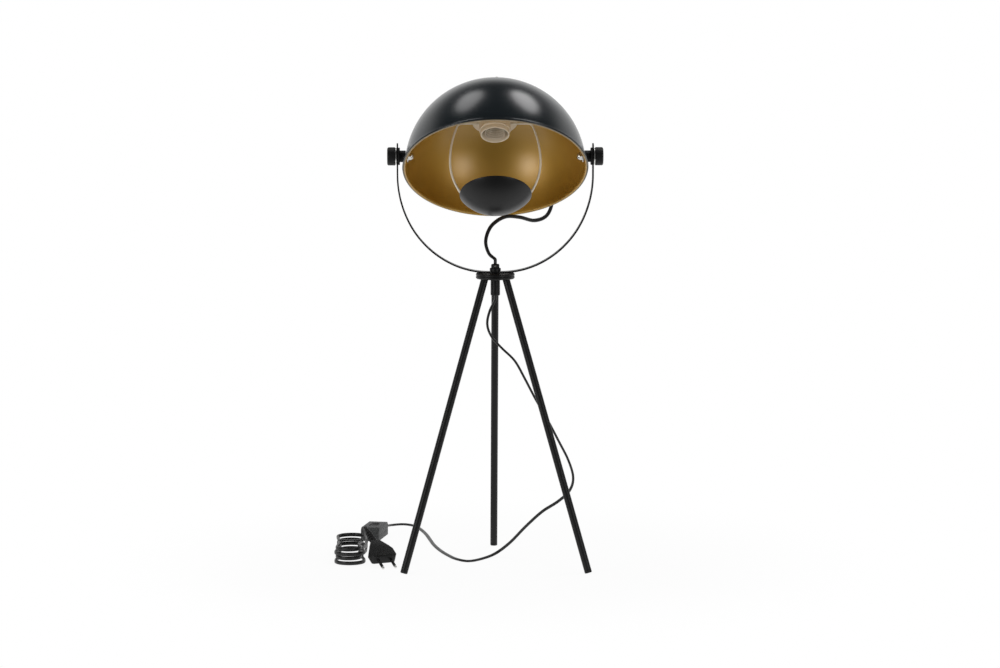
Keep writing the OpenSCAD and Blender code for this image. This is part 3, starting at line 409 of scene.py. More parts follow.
LOWEST_BEHIND = (56, 85, 472)
upper_route = [shade_point(CROWN_TIP_H), shade_point(CROWN_TIP_H + LEAD), (4, 84, 670),
               (16, 106, 656), (34, 120, 628), (52, 127, 596), (68, 127, 562), (79, 122, 528),
               (82, 112, 498), (74, 101, 478), LOWEST_BEHIND, (35, 65, 478), (14, 44, 480),
               (-5, 23, 469), (-13, 9, 450), (-9, 3, 433), (0, 0, GRIP_TOP_Z + LEAD),
               (0, 0, GRIP_TOP_Z)]
FLOOR_Z = CORD_T / 2
SWITCH_AT, SWITCH_HEADING, SWITCH_L, BASE_H = Vector((-173, 212, 0)), math.radians(11.5), 70, 8
SWITCH_DIR = Vector((-math.sin(SWITCH_HEADING), -math.cos(SWITCH_HEADING), 0))
switch_rear = SWITCH_AT + Vector((0, 0, BASE_H)) - SWITCH_L / 2 * SWITCH_DIR
down_the_leg = [(0, 0, SLEEVE_Z), (0, 0, SLEEVE_Z - LEAD), (-8, 1, 352), (-11, 3, 334),
                (-5, 5, 317), (9, 7, 301), (27, 8, 283), (41, 10, 258), (56, 13, 229),
                (73, 16, 199), (88, 19, 170), (102, 22, 142), (109, 25, 117), (104, 28, 98),
                (88, 32, 82), (66, 36, 67), (43, 41, 45), (22, 47, 22), (2, 50, 6)]
over_the_floor = [(-17, 32, FLOOR_Z), (-37, 12, FLOOR_Z), (-54, 28, FLOOR_Z), (-66, 58, FLOOR_Z),
                  (-77, 96, FLOOR_Z), (-86, 140, FLOOR_Z), (-92, 184, FLOOR_Z),
                  (-98, 228, FLOOR_Z), (-106, 268, FLOOR_Z), (-116, 300, FLOOR_Z),
                  (-132, 314, FLOOR_Z), (-149, 308, FLOOR_Z), (-158, 286, 4)]
lower_route = down_the_leg + over_the_floor + [switch_rear - LEAD * SWITCH_DIR, switch_rear]
print(len(upper_route), "points on the upper route and", len(lower_route), "on the lower one")

# %% Smoothing and measuring a line


def smoothed(route, steps):
    """A Catmull-Rom curve through the route; its first and last stretch stay straight."""
    points = [Vector(p) for p in route]
    last = len(points) - 2
    line = []
    for i in range(last + 1):
        here, there = points[i], points[i + 1]
        for j in range(steps):
            f = j / steps
            if i in (0, last):
                line.append(here + (there - here) * f)
                continue
            before, beyond = points[i - 1], points[i + 2]
            slope = (there - before) * f
            square = (2 * before - 5 * here + 4 * there - beyond) * f ** 2
            cube = (3 * here - before - 3 * there + beyond) * f ** 3
            line.append(0.5 * (2 * here + slope + square + cube))
    return line + [points[-1]]


def length_of(line):
    return sum((q - p).length for p, q in zip(line, line[1:]))


def tangent(line, i):
    return (line[min(i + 1, len(line) - 1)] - line[max(i - 1, 0)]).normalized()


def carried(line, first):
    """A side direction for each point that never twists about the line."""
    sides = []
    side = Vector(first)
    for i in range(len(line)):
        along = tangent(line, i)
        side = (side - side.dot(along) * along).normalized()
        sides.append(side)
    return sides


# %% Sweeping the cord's section
ARC_POINTS = 7


def cord_section():
    """The flat oval's outline: two half circles joined by short flats."""
    flat = (CORD_W - CORD_T) / 2
    outline = []
    for side in (1, -1):
        for k in range(ARC_POINTS):
            turn = -math.pi / 2 + math.pi * k / (ARC_POINTS - 1)
            outline.append((side * (flat + CORD_T / 2 * math.cos(turn)),
                            side * CORD_T / 2 * math.sin(turn)))
    return outline


def swept_cord(name, line, sides, span=None):
    """A closed tube of the cord's section, with a ring of points at each place of a line.

    Where only a stretch of the line is wanted, span gives its first and its last place.
    """
    section = cord_section()
    around = len(section)
    first, last = span or (0, len(line) - 1)
    points = []
    for i in range(first, last + 1):
        up = tangent(line, i).cross(sides[i])
        points += [AT_HUB @ (line[i] + u * sides[i] + v * up) for u, v in section]
    faces = []
    for ring in range(0, (last - first) * around, around):
        for k in range(around):
            beside = (k + 1) % around
            faces.append([ring + k, ring + beside, ring + around + beside, ring + around + k])
    far_ring = (last - first) * around
    faces += [list(range(around))[::-1], [far_ring + k for k in range(around)]]
    mesh = bpy.data.meshes.new(name)
    mesh.from_pydata(points, [], faces)
    piece = bpy.data.objects.new(name, mesh)
    bpy.context.scene.collection.objects.link(piece)
    made_active(piece)
    bpy.ops.object.mode_set(mode="EDIT")
    bpy.ops.mesh.select_all(action="SELECT")
    bpy.ops.mesh.normals_make_consistent(inside=False)
    bpy.ops.object.mode_set(mode="OBJECT")
    return piece


# %% The upper and the lower cord
CORD_STEPS = 6
upper_line = smoothed(upper_route, CORD_STEPS)
edge_on = CROWN_OUT.cross(Vector((1, 0, 0)))
upper_sides = carried(upper_line, edge_on)
parting = upper_route.index(LOWEST_BEHIND) * CORD_STEPS
upper_cord = swept_cord("upper_lamp_cord", upper_line, upper_sides, (0, parting))
hub_end = swept_cord("upper_cord_at_hub", upper_line, upper_sides, (parting, len(upper_line) - 1))
lower_line = smoothed(lower_route, CORD_STEPS)
level = tangent(lower_line[::-1], 0).cross(Vector((0, 0, 1))).normalized()
lower_sides = carried(lower_line[::-1], level)[::-1]
lower_cord = swept_cord("lower_lamp_cord", lower_line, lower_sides)
print(f"upper cord {length_of(upper_line):.0f} mm, lower cord {length_of(lower_line):.0f} mm")

# %% [markdown]
# ## The hank
# What is left of the cord is wound into a hank of four layers of folded loops. It could be drawn
# point by point like the routes above, but its loops repeat, so one rule draws them all. The cord
# climbs from one layer to the next along one of its runs and spirals in and out in turn, as it
# does when it is wound round a hand. The waist is drawn in by a tie.

# %% Where the hank and the plug lie
HANK_AT, HANK_RUN, HANK_FOLD_R, HANK_WAIST, HANK_LAYERS = (-203, 48), 84, 21, 0.24, 4
LOOP_GAP, TIE_T, TIE_PLAY = 0.8, 0.8, 0.15
LAYER_PITCH = CORD_W + LOOP_GAP
LOOP_STEP = (CORD_T + LOOP_GAP) / (1 - HANK_WAIST)
HANK_Z = TIE_T + TIE_PLAY + CORD_W / 2
HANK_TOP = HANK_Z + (HANK_LAYERS - 1) * LAYER_PITCH + CORD_W / 2
PLUG_TIP, PLUG_SLOPE, PLUG_HEADING = (-146, -40), math.radians(27), math.radians(24.9)
PIN_D, PIN_L, PLUG_L, RELIEF_L = 4, 19, 40, 30
PLUG_DIR = Vector((math.sin(PLUG_HEADING) * math.cos(PLUG_SLOPE),
                   -math.cos(PLUG_HEADING) * math.cos(PLUG_SLOPE), -math.sin(PLUG_SLOPE)))
plug_tip_z = PIN_D / 2 * math.cos(PLUG_SLOPE)
plug_rear = Vector((*PLUG_TIP, plug_tip_z)) - (PIN_L + PLUG_L + RELIEF_L) * PLUG_DIR
print(f"the hank is {HANK_TOP:.1f} mm high, and the plug's relief ends {plug_rear.z:.1f} mm up")

# %% The hank's loops
LOOP_STEPS = 60
JUST_BEFORE = 0.0001


def fold_point(share, radius):
    """One loop: a run with a waist, a round fold, the run back and the other fold."""
    def drawn_in(along):
        return radius * (1 - HANK_WAIST * (1 - (2 * along / HANK_RUN) ** 2) ** 2)
    if share < 0.25:
        along = HANK_RUN * (4 * share - 0.5)
        return along, drawn_in(along)
    if share < 0.5:
        turn = math.radians(720 * (share - 0.25))
        return HANK_RUN / 2 + radius * math.sin(turn), radius * math.cos(turn)
    if share < 0.75:
        along = HANK_RUN * (2.5 - 4 * share)
        return along, -drawn_in(along)
    turn = math.radians(720 * (share - 0.75))
    return -HANK_RUN / 2 - radius * math.sin(turn), -radius * math.cos(turn)


def hank_point(wound):
    """The place of the cord after so many loops; a loop climbs to its layer on its first run."""
    layer = math.floor(wound)
    share = wound - layer
    spiral = max(0, share - 0.25) / 0.75
    inset = spiral if layer % 2 == 0 else 1 - spiral
    climbed = layer
    if layer > 0 and share < 0.25:
        climbed = layer - 1 + 4 * share
    along, across = fold_point(share, HANK_FOLD_R - LOOP_STEP * inset)
    return Vector((HANK_AT[0] + across, HANK_AT[1] - along, HANK_Z + LAYER_PITCH * climbed))


loops = [hank_point(min(i / LOOP_STEPS, HANK_LAYERS - JUST_BEFORE))
         for i in range(HANK_LAYERS * LOOP_STEPS + 1)]
switch_front = SWITCH_AT + Vector((0, 0, BASE_H)) + SWITCH_L / 2 * SWITCH_DIR
lead_in = smoothed([switch_front, switch_front + LEAD * SWITCH_DIR, (-183, 152, 5.6),
                    (-183, 130, HANK_Z + 0.4), (-182, 110, HANK_Z), loops[0]], CORD_STEPS)
lead_out = smoothed([loops[-1], (-182, 76, HANK_TOP - 1), (-184, 60, HANK_TOP + 8),
                     (-185, 48, HANK_TOP + 18), plug_rear - LEAD * PLUG_DIR, plug_rear], CORD_STEPS)
hank_line = lead_in[:-1] + loops + lead_out[1:]
print(f"hank {length_of(hank_line):.0f} mm in {HANK_LAYERS} loops")

# %% Sweeping the hank
PLACES_FLAT = 4


def rolled(i):
    """The cord stands on its edge in the hank and lies flat where it leaves it."""
    from_start = max(0, i + 1 - PLACES_FLAT) / (len(lead_in) - CORD_STEPS)
    from_end = max(0, len(hank_line) - PLACES_FLAT - i) / (len(lead_out) - CORD_STEPS)
    roll = math.pi / 2 * min(1, from_start, from_end)
    along = tangent(hank_line, i)
    level_side = along.cross(Vector((0, 0, 1))).normalized()
    return level_side * math.cos(roll) + along.cross(level_side) * math.sin(roll)


hank_sides = [rolled(i) for i in range(len(hank_line))]
hank_cord = swept_cord("hank_of_cord", hank_line, hank_sides)
print(len(hank_line), "places along the hank")

# %% [markdown]
# The upper cord crosses the tilt. When the shade looks forwards, the bowl's rear edge comes down on
# the last stretch before the hub, and presses the cord flat against the straight way between its
# two ends. So that stretch is a piece of its own, which starts where the loop is lowest and goes
# on the strip. The loop itself is given no body.

# %% Dressing the cords
dress(upper_cord, cord_jacket, None, "cord_jacket", "upper_cord", smooth=60)
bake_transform(upper_cord)
dress(hub_end, cord_jacket, "yoke", "cord_jacket", "upper_cord", smooth=60)
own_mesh(hub_end)
dress(lower_cord, cord_jacket, "tripod", "cord_jacket", "lower_cord", smooth=60)
dress(hank_cord, cord_jacket, "tripod", "cord_jacket", "cord_hank", smooth=60)

# %% [markdown]
# ## The shade
# The bowl is spun from a flat disc of steel, and its edge is rolled outwards over a wire. Half a
# sphere with a Solidify modifier would give the bowl without that edge. So the profile goes down
# the outer wall, round the bead and up the inner wall, and is spun about the bowl's axis. The
# holes for the two pivots are drilled afterwards.

# %% The spun bowl
BOWL_R, BOWL_WALL, BOWL_C, BEAD_D = 124, 1.2, 2, 4.4
BOWL_IN_R = BOWL_R - BOWL_WALL
BEAD_C = BOWL_IN_R + 0.1 + BEAD_D / 2
NIPPLE_HOLE_R = 5.2
OUTER_WALL_END, INNER_WALL_END, BEAD_FROM, BEAD_TO = 1.2, 0.2, 118, -176


def down_to(radius, r):
    """The angle at which an arc about the bowl's centre reaches a distance r from the axis."""
    return math.degrees(math.acos(r / radius))


outer_arc = arc((0, BOWL_C), BOWL_R, down_to(BOWL_R, NIPPLE_HOLE_R), OUTER_WALL_END, 48)
bead = arc((BEAD_C, BEAD_D / 2), BEAD_D / 2, BEAD_FROM, BEAD_TO, 20)
inner_arc = arc((0, BOWL_C), BOWL_IN_R, INNER_WALL_END, down_to(BOWL_IN_R, NIPPLE_HOLE_R), 48)
bowl = turned("spun_bowl", outer_arc + bead + inner_arc, steps=192)
print("bowl turned with", len(bowl.data.polygons), "faces")

# %% [markdown]
# The bowl has two paints: gloss black outside and over the rolled edge, and gold inside. A thin
# pale band along the lowest part of that edge is painted light: the faces there that look down
# towards the lit floor get a paler colour of their own. A mask in one material could part the
# three, but its edge would be soft. So each is a material slot, and the faces that it covers are
# picked by where they lie in the profile.

# %% Painting the bowl
# Between these two angles, the downward faces of the rolled edge get the band of painted light.
LIT_EDGE_FROM, LIT_EDGE_TO = -66, -106


def on_rolled_edge(face):
    at = face.calc_center_median()
    return at.z < BEAD_D and math.hypot(at.x, at.y) > BOWL_IN_R + 0.2


def round_edge(face):
    """The angle of a face round the rolled edge: 0 is outwards and -90 is straight down."""
    at = face.calc_center_median()
    return math.degrees(math.atan2(at.z - BEAD_D / 2, math.hypot(at.x, at.y) - BEAD_C))


def is_inside(face):
    if on_rolled_edge(face):
        return round_edge(face) < LIT_EDGE_TO
    return (face.calc_center_median() - Vector((0, 0, BOWL_C))).length < BOWL_R - BOWL_WALL / 2


# The faces under the rolled edge that take the pale band of painted light.
def is_painted_edge_light(face):
    return on_rolled_edge(face) and LIT_EDGE_TO <= round_edge(face) <= LIT_EDGE_FROM


def paint_faces(piece, finish, keep):
    """Adds a material slot and gives it to the faces for which keep is true."""
    piece.data.materials.append(finish)
    bpy.ops.object.mode_set(mode="EDIT")
    pick(piece, "faces", keep)
    piece.active_material_index = len(piece.data.materials) - 1
    bpy.ops.object.material_slot_assign()
    bpy.ops.object.mode_set(mode="OBJECT")


bowl.data.materials.append(gloss_black)
paint_faces(bowl, satin_gold, is_inside)
paint_faces(bowl, painted_edge_light, is_painted_edge_light)
print("bowl painted in", len(bowl.data.materials), "finishes")

# %% [markdown]
# ## Cutting, rounding and copying
# Holes are drilled and ends are cut off with Boolean modifiers, as a saw and a drill would. They
# could be left out of the profile from the start, but a hole across a round wall has no simple
# outline. Sharp edges are broken with a Bevel modifier. Pieces that come in pairs are made once.

# %% Modifiers, cutters and flat outlines


def applied(piece, kind, **settings):
    """Gives a piece a modifier with its settings and applies it."""
    made_active(piece)
    step = piece.modifiers.new(kind.lower(), kind)
    for name, value in settings.items():
        setattr(step, name, value)
    bpy.ops.object.modifier_apply(modifier=step.name)
    return piece


def cut(piece, tool, operation="DIFFERENCE"):
    """Cuts a piece with a tool and throws the tool away."""
    applied(piece, "BOOLEAN", operation=operation, object=tool)
    bpy.data.objects.remove(tool)
    return piece


def rounded_edges(piece, width, steps=2, over=30):
    """Rounds every edge sharper than an angle."""
    return applied(piece, "BEVEL", width=width, segments=steps, limit_method="ANGLE",
                   angle_limit=math.radians(over))


def drill(radius, start, end, around=32):
    """A plain cylinder between two points, as a cutter."""
    start, end = Vector(start), Vector(end)
    bpy.ops.object.select_all(action="DESELECT")
    turn = (end - start).to_track_quat("Z", "Y").to_euler()
    bpy.ops.mesh.primitive_cylinder_add(vertices=around, radius=radius, depth=(end - start).length,
                                        location=(start + end) / 2, rotation=turn)
    bpy.ops.object.transform_apply(location=True, rotation=True, scale=True)
    return bpy.context.active_object


def block(low, high):
    """A plain box between two corners, as a cutter."""
    low, high = Vector(low), Vector(high)
    bpy.ops.object.select_all(action="DESELECT")
    bpy.ops.mesh.primitive_cube_add(size=1, location=(low + high) / 2)
    bpy.ops.transform.resize(value=high - low)
    bpy.ops.object.transform_apply(location=True, rotation=True, scale=True)
    return bpy.context.active_object


def plate(name, outline, depth):
    """A flat outline in the XY plane, filled and pulled up along Z."""
    piece = drawn(name, [(x, y, 0) for x, y in outline], closed=True)
    bpy.ops.mesh.edge_face_add()
    bpy.ops.mesh.extrude_region_move(TRANSFORM_OT_translate={"value": (0, 0, depth)})
    return close_up(piece)


# %% Copies in several places


def copied(piece, name):
    """A copy with its own mesh."""
    twin = piece.copy()
    twin.data = piece.data.copy()
    twin.name = twin.data.name = name
    bpy.context.scene.collection.objects.link(twin)
    return twin


def fit_each(piece, places, *looks, **more):
    """Fits a piece at the first place and a copy of it at each further place."""
    twins = [piece] + [copied(piece, f"{piece.name}_{i + 1}") for i in range(1, len(places))]
    return [fit(twin, place, *looks, **more) for twin, place in zip(twins, places)]


BOTH_PIVOTS = [on_pivot(-1), on_pivot(1)]

# %% Drilling the bowl for the two pivots
STUD_R, STUD_HOLE_R = 3, 3.2
through = 1.1 * BOWL_R
cut(bowl, drill(STUD_HOLE_R, (-through, 0, PIVOT_H), (through, 0, PIVOT_H), around=48))
fit(bowl, IN_SHADE, None, "shade", "shade_enamel", "shade_shell", smooth=50)

# %% [markdown]
# ## Where the cord leaves the bowl
# A short threaded tube holds the lampholder, the bowl and a round nut together, and a cord grip
# with a slotted screw ends it. The hub has the same nut and grip, so each is one function that
# takes its height, and no shape is written twice.

# %% Round nuts, cord grips and their screws
NUT_R, NUT_H, NIPPLE_R, NIPPLE_BORE_R = 7.65, 4, 5, 3.5
GRIP_R, GRIP_H, GRIP_SEAT, SCREW_R = 5.7, 5.5, 1.3, 1.25
NUT_ROUND, GRIP_ROUND, MOUTH_ROUND = 0.8, 1.8, 0.4
GRIP_EDGE, BORE_EDGE, SCREW_EDGE, SCREW_PROUD, SLOT_W = 0.3, 0.5, 0.25, 0.7, 0.5
CHAMFER = 0.4
APEX_H = BOWL_C + BOWL_R
GRIP_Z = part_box("hub_grip")[0].z / MM
NUT_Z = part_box("hub_nut")[0].z / MM


def round_nut(name, low, high):
    edge = arc((NUT_R - NUT_ROUND, high - NUT_ROUND), NUT_ROUND, 0, 90, 5)
    return turned(name, [(NIPPLE_R, low), (NUT_R - CHAMFER, low), (NUT_R, low + CHAMFER)] + edge
                  + [(NIPPLE_R + BORE_EDGE, high), (NIPPLE_R, high - BORE_EDGE)], steps=64)


def cord_grip(name, low):
    """The grip round the cord: seated over the tube, rounded on top and drilled for its screw."""
    top = low + GRIP_H
    edge = arc((GRIP_R - GRIP_ROUND, top - GRIP_ROUND), GRIP_ROUND, 0, 90, 8)
    mouth = arc((NIPPLE_BORE_R + MOUTH_ROUND, top - MOUTH_ROUND), MOUTH_ROUND, 90, 180, 4)
    body = turned(name, [(NIPPLE_R, low), (GRIP_R - GRIP_EDGE, low), (GRIP_R, low + GRIP_EDGE)] + edge
                  + mouth + [(NIPPLE_BORE_R, low + GRIP_SEAT), (NIPPLE_R, low + GRIP_SEAT)], steps=64)
    middle = low + GRIP_H / 2
    return cut(body, drill(SCREW_R, (0, 0, middle), (0, -2 * GRIP_R, middle)))


def slotted_screw(name, low):
    """The grub screw that presses on the cord, with a slot across its outer end."""
    reach = GRIP_R + SCREW_PROUD
    inner = NIPPLE_BORE_R + 0.1
    screw = turned(name, [(0, -reach), (SCREW_R - SCREW_EDGE, -reach), (SCREW_R, -reach + SCREW_EDGE),
                          (SCREW_R, -inner - CHAMFER), (SCREW_R - CHAMFER, -inner), (0, -inner)],
                   steps=32)
    middle = low + GRIP_H / 2
    put(screw, Matrix.Translation((0, 0, middle)) @ Matrix.Rotation(-math.pi / 2, 4, "X"))
    return cut(screw, block((-3, -reach - 1, middle - SLOT_W / 2), (3, -GRIP_R, middle + SLOT_W / 2)))


fit(round_nut("crown_round_nut", APEX_H - 0.2, APEX_H + NUT_H), IN_SHADE,
    satin_black, "shade", "black_steel", "crown_nut")
fit(cord_grip("crown_cord_grip", APEX_H + NUT_H), IN_SHADE,
    black_plastic, "shade", "black_plastic", "crown_grip")
fit(slotted_screw("crown_grip_screw", APEX_H + NUT_H), IN_SHADE,
    plated, "shade", "plated_steel", "crown_screw")
fit(round_nut("hub_round_nut", NUT_Z, NUT_Z + NUT_H), AT_HUB,
    satin_black, "tripod", "black_steel", "hub_nut")
fit(cord_grip("hub_cord_grip", GRIP_Z), AT_HUB,
    black_plastic, "tripod", "black_plastic", "hub_grip")
fit(slotted_screw("hub_grip_screw", GRIP_Z), AT_HUB,
    plated, "tripod", "plated_steel", "hub_screw")

# %% [markdown]
# ## The lampholder
# Under the bowl hangs a cream E27 lampholder: a cap, a wide shade ring and a skirt with a rounded
# lip. The three screw onto each other, so each is turned as a piece of its own from a profile,
# and their seams show as they do on the real one.

# %% The lampholder's mouldings
MOUTH_H, SKIRT_R, SKIRT_WALL, SKIRT_L, COLLAR_R = 55, 20, 2, 20, 21.5
RING_R, RING_T, CAP_R, CAP_L, CAP_WALL = 31.5, 6, 23.5, 20, 2.2
LIP_ROUND, RING_ROUND, CAP_ROUND, STEP_ROUND, TAPER = 1, 1.5, 1.5, 0.5, 4
RING_H = MOUTH_H + SKIRT_L
CAP_H = RING_H + RING_T
CAP_TOP_H = CAP_H + CAP_L
COLLAR_H = MOUTH_H + SKIRT_L / 3
LOCK_NUT_AF, LOCK_NUT_H = 14, 3
LOCK_NUT_R = LOCK_NUT_AF / 2 / math.cos(math.pi / 6)
LOCK_H = APEX_H - BOWL_WALL - LOCK_NUT_H - LOCK_NUT_R ** 2 / (2 * BOWL_IN_R)


def eased(points, radius, steps=4):
    """An open outline with its inner corners rounded to a radius, where there is room."""
    made = [points[0]]
    for before, at, after in zip(points, points[1:], points[2:]):
        start, corner, end = Vector(before), Vector(at), Vector(after)
        room = min(radius, (corner - start).length / 2.1, (end - corner).length / 2.1)
        enter = corner + (start - corner).normalized() * room
        leave = corner + (end - corner).normalized() * room
        for i in range(steps + 1):
            f = i / steps
            spot = (1 - f) ** 2 * enter + 2 * f * (1 - f) * corner + f ** 2 * leave
            made.append((spot.x, spot.y))
    return made + [points[-1]]


lip = arc((SKIRT_R - LIP_ROUND, MOUTH_H + LIP_ROUND), LIP_ROUND, 0, -180, 10)
collar = [(SKIRT_R - SKIRT_WALL, CAP_H), (COLLAR_R, CAP_H), (COLLAR_R, COLLAR_H + STEP_ROUND),
          (COLLAR_R - STEP_ROUND, COLLAR_H), (SKIRT_R, COLLAR_H)]
fit(turned("holder_skirt_moulding", collar + lip), IN_SHADE,
    cream_plastic, "shade", "cream_plastic", "holder_skirt")
ring_edge = (arc((RING_R - RING_ROUND, RING_H + RING_ROUND), RING_ROUND, -90, 0, 6)
             + arc((RING_R - RING_ROUND, RING_H + RING_T - RING_ROUND), RING_ROUND, 0, 90, 6))
ring_profile = [(COLLAR_R, RING_H)] + ring_edge + [(COLLAR_R, RING_H + RING_T)]
fit(turned("shade_ring_moulding", ring_profile), IN_SHADE,
    cream_plastic, "shade", "cream_plastic", "holder_shade_ring")
cap_outside = eased([(CAP_R - CAP_WALL, CAP_H), (CAP_R, CAP_H), (CAP_R, CAP_TOP_H - TAPER),
                     (2 * NIPPLE_R, LOCK_H), (NIPPLE_HOLE_R, LOCK_H)], CAP_ROUND)
cap_inside = [(NIPPLE_HOLE_R, LOCK_H - CAP_WALL),
              (2 * NIPPLE_R - CAP_WALL / 2, LOCK_H - CAP_WALL),
              (CAP_R - CAP_WALL, CAP_TOP_H - TAPER - CAP_WALL / 2)]
fit(turned("holder_cap_moulding", cap_outside + cap_inside), IN_SHADE,
    cream_plastic, "shade", "cream_plastic", "holder_cap")

# %% [markdown]
# A hexagon nut locks the cap on the tube, and a glazed ceramic insert carries the lamp's thread
# and its contact. A nut could start from a cylinder of six sides, but it is turned from a round
# bar first, which leaves its corners chamfered, and its flats are cut with bisect.

# %% Hexagon nuts and the ceramic insert
NUT_CORNER = 0.6


def hexed(piece, across):
    """Cuts six flats on a turned blank."""
    made_active(piece)
    bpy.ops.object.mode_set(mode="EDIT")
    for k in range(6):
        out = Vector((math.cos(k * math.pi / 3), math.sin(k * math.pi / 3), 0))
        bpy.ops.mesh.select_all(action="SELECT")
        bpy.ops.mesh.bisect(plane_co=out * across / 2, plane_no=out, use_fill=True, clear_outer=True)
    return close_up(piece)


nut_edge = LOCK_NUT_R - NUT_CORNER
lock_top = LOCK_H + LOCK_NUT_H
lock_nut = turned("lock_nut", [(NIPPLE_R, LOCK_H), (nut_edge, LOCK_H),
                               (LOCK_NUT_R, LOCK_H + CHAMFER), (LOCK_NUT_R, lock_top - CHAMFER),
                               (nut_edge, lock_top), (NIPPLE_R, lock_top)], steps=48)
fit(hexed(lock_nut, LOCK_NUT_AF), IN_SHADE,
    plated, "shade", "plated_steel", "holder_lock_nut", smooth=25)

LAMP_R, LAMP_SHELL_L, LAMP_SHELL_WALL, SHELL_SEAT = 13.2, 22, 0.7, 3
POCKET_R, POCKET_DEPTH = 7, 1.9
seat_h = RING_H + SHELL_SEAT
insert_top = CAP_H + 4
shell_out = LAMP_R + LAMP_SHELL_WALL
skirt_in = SKIRT_R - SKIRT_WALL
insert_profile = [(0, seat_h + POCKET_DEPTH), (POCKET_R, seat_h + POCKET_DEPTH), (POCKET_R, seat_h),
                  (shell_out, seat_h), (shell_out, RING_H + CHAMFER), (shell_out + CHAMFER, RING_H),
                  (skirt_in - CHAMFER, RING_H), (skirt_in, RING_H + CHAMFER),
                  (skirt_in, insert_top), (0, insert_top)]
fit(turned("ceramic_insert", insert_profile), IN_SHADE,
    ceramic, "shade", "ceramic", "holder_insert")

# %% [markdown]
# The lamp thread is pressed from thin brass sheet, so it is round waves wound into a screw. Rings
# would look the same from far away, but they don't climb. A Screw modifier winds one wave round
# the axis, and a Solidify modifier gives the sheet its thickness.

# %% The lamp's thread and its contact
THREAD_PITCH, WAVE_POINTS, WAVE_MIDDLE, WAVE_DEPTH, SHEET_T = 3.63, 10, 0.42, 0.22, 0.3
THREAD_LOW = seat_h - LAMP_SHELL_L + 0.2
THREAD_TURNS = int((LAMP_SHELL_L - 1) / THREAD_PITCH)
wave = []
for k in range(WAVE_POINTS + 1):
    out = LAMP_R + WAVE_MIDDLE + WAVE_DEPTH * math.cos(math.tau * k / WAVE_POINTS)
    wave.append((out, 0, THREAD_PITCH * k / WAVE_POINTS))
thread = drawn("lamp_thread", wave, closed=False)
bpy.ops.object.mode_set(mode="OBJECT")
applied(thread, "SCREW", axis="Z", screw_offset=THREAD_PITCH, iterations=THREAD_TURNS, steps=48,
        render_steps=48, use_merge_vertices=True, merge_threshold=ON_AXIS)
applied(thread, "SOLIDIFY", thickness=SHEET_T, offset=0)
fit(thread, IN_SHADE @ Matrix.Translation((0, 0, THREAD_LOW)),
    brass, "shade", "brass", "lamp_thread_shell", smooth=50)

spring_low = seat_h + 0.1
spring_top = spring_low + 1.8
rim_low = spring_low + 0.9
contact = turned("centre_contact_spring", [(0, spring_low), (2.2, spring_low), (3, spring_low + 0.7),
                                           (3.2, rim_low), (POCKET_R - 0.5, rim_low),
                                           (POCKET_R - 0.5, spring_top), (0, spring_top)], steps=48)
fit(contact, IN_SHADE, brass, "shade", "brass", "centre_contact")

# %% [markdown]
# ## The guard wire and the dish
# The cream wire is one bent rod. It is clamped under the shade ring, goes down each side and
# carries the small black dish across its lowest part. A curve with a round bevel would bend it at
# every point a little. Here a circle is pulled along the straight parts and spun round the bends,
# as a bending machine does, and the half that this gives is mirrored.

# %% Where the wire bends
RIGHT_ANGLE = math.pi / 2
WIRE_R, WIRE_BEND_R, WIRE_LEAN, WIRE_SINK = 1.5, 8, math.radians(19.3), 0.5
WIRE_MID, WIRE_LOW = (62, 13), (46, -40)
WIRE_TOP = RING_H - WIRE_R + WIRE_SINK
wire_up_r = WIRE_BEND_R + (WIRE_TOP - WIRE_BEND_R - WIRE_MID[1]) / math.sin(WIRE_LEAN)
corner_x = WIRE_MID[0] - wire_up_r + (wire_up_r - WIRE_BEND_R) * math.cos(WIRE_LEAN)
wire_down = WIRE_MID[1] - WIRE_LOW[1]
DOWN_ANGLE = 2 * math.atan((WIRE_MID[0] - WIRE_LOW[0]) / wire_down)
wire_down_r = wire_down / math.sin(DOWN_ANGLE)
low_corner = Vector((WIRE_LOW[0] - WIRE_BEND_R * math.cos(DOWN_ANGLE), 0,
                     WIRE_LOW[1] + WIRE_BEND_R * math.sin(DOWN_ANGLE)))
print(f"the wire's sides bow at {wire_up_r:.0f} mm above and {wire_down_r:.0f} mm below")

# %% Bending the wire


def bend(centre, angle, steps):
    """Spins the selected end about an axis along Y, from the bottom of a circle to its +X side."""
    bpy.ops.mesh.spin(steps=steps, angle=angle, center=centre, axis=(0, 1, 0))


def run(x, z):
    bpy.ops.mesh.extrude_region_move(TRANSFORM_OT_translate={"value": (x, 0, z)})


def mirrored(piece):
    """Mirrors a half across the plane X = 0 and joins it there."""
    return applied(piece, "MIRROR", merge_threshold=0.01)


bpy.ops.object.select_all(action="DESELECT")
bpy.ops.mesh.primitive_circle_add(vertices=20, radius=WIRE_R, fill_type="NOTHING",
                                  location=(0, 0, low_corner.z - WIRE_BEND_R),
                                  rotation=(0, RIGHT_ANGLE, 0))
wire = bpy.context.active_object
wire.name = wire.data.name = "bent_guard_wire"
bpy.ops.object.transform_apply(location=True, rotation=True, scale=True)
bpy.ops.object.mode_set(mode="EDIT")
bpy.ops.mesh.select_all(action="SELECT")
run(low_corner.x, 0)
bend(low_corner, RIGHT_ANGLE - DOWN_ANGLE, 12)
bend((WIRE_MID[0] - wire_down_r, 0, WIRE_MID[1]), DOWN_ANGLE, 16)
bend((WIRE_MID[0] - wire_up_r, 0, WIRE_MID[1]), WIRE_LEAN, 16)
bend((corner_x, 0, WIRE_TOP - WIRE_BEND_R), RIGHT_ANGLE - WIRE_LEAN, 12)
run(COLLAR_R - corner_x, 0)
bpy.ops.mesh.edge_face_add()
fit(mirrored(close_up(wire)), IN_SHADE, cream_enamel, "shade", "wire_enamel", "guard_wire", smooth=60)

# %% [markdown]
# The dish hides the bulb from the front. It is spun like the bowl, as a shallow cap of a larger
# ball. Its inner face meets the two lowest bends of the wire, so its height follows from them.

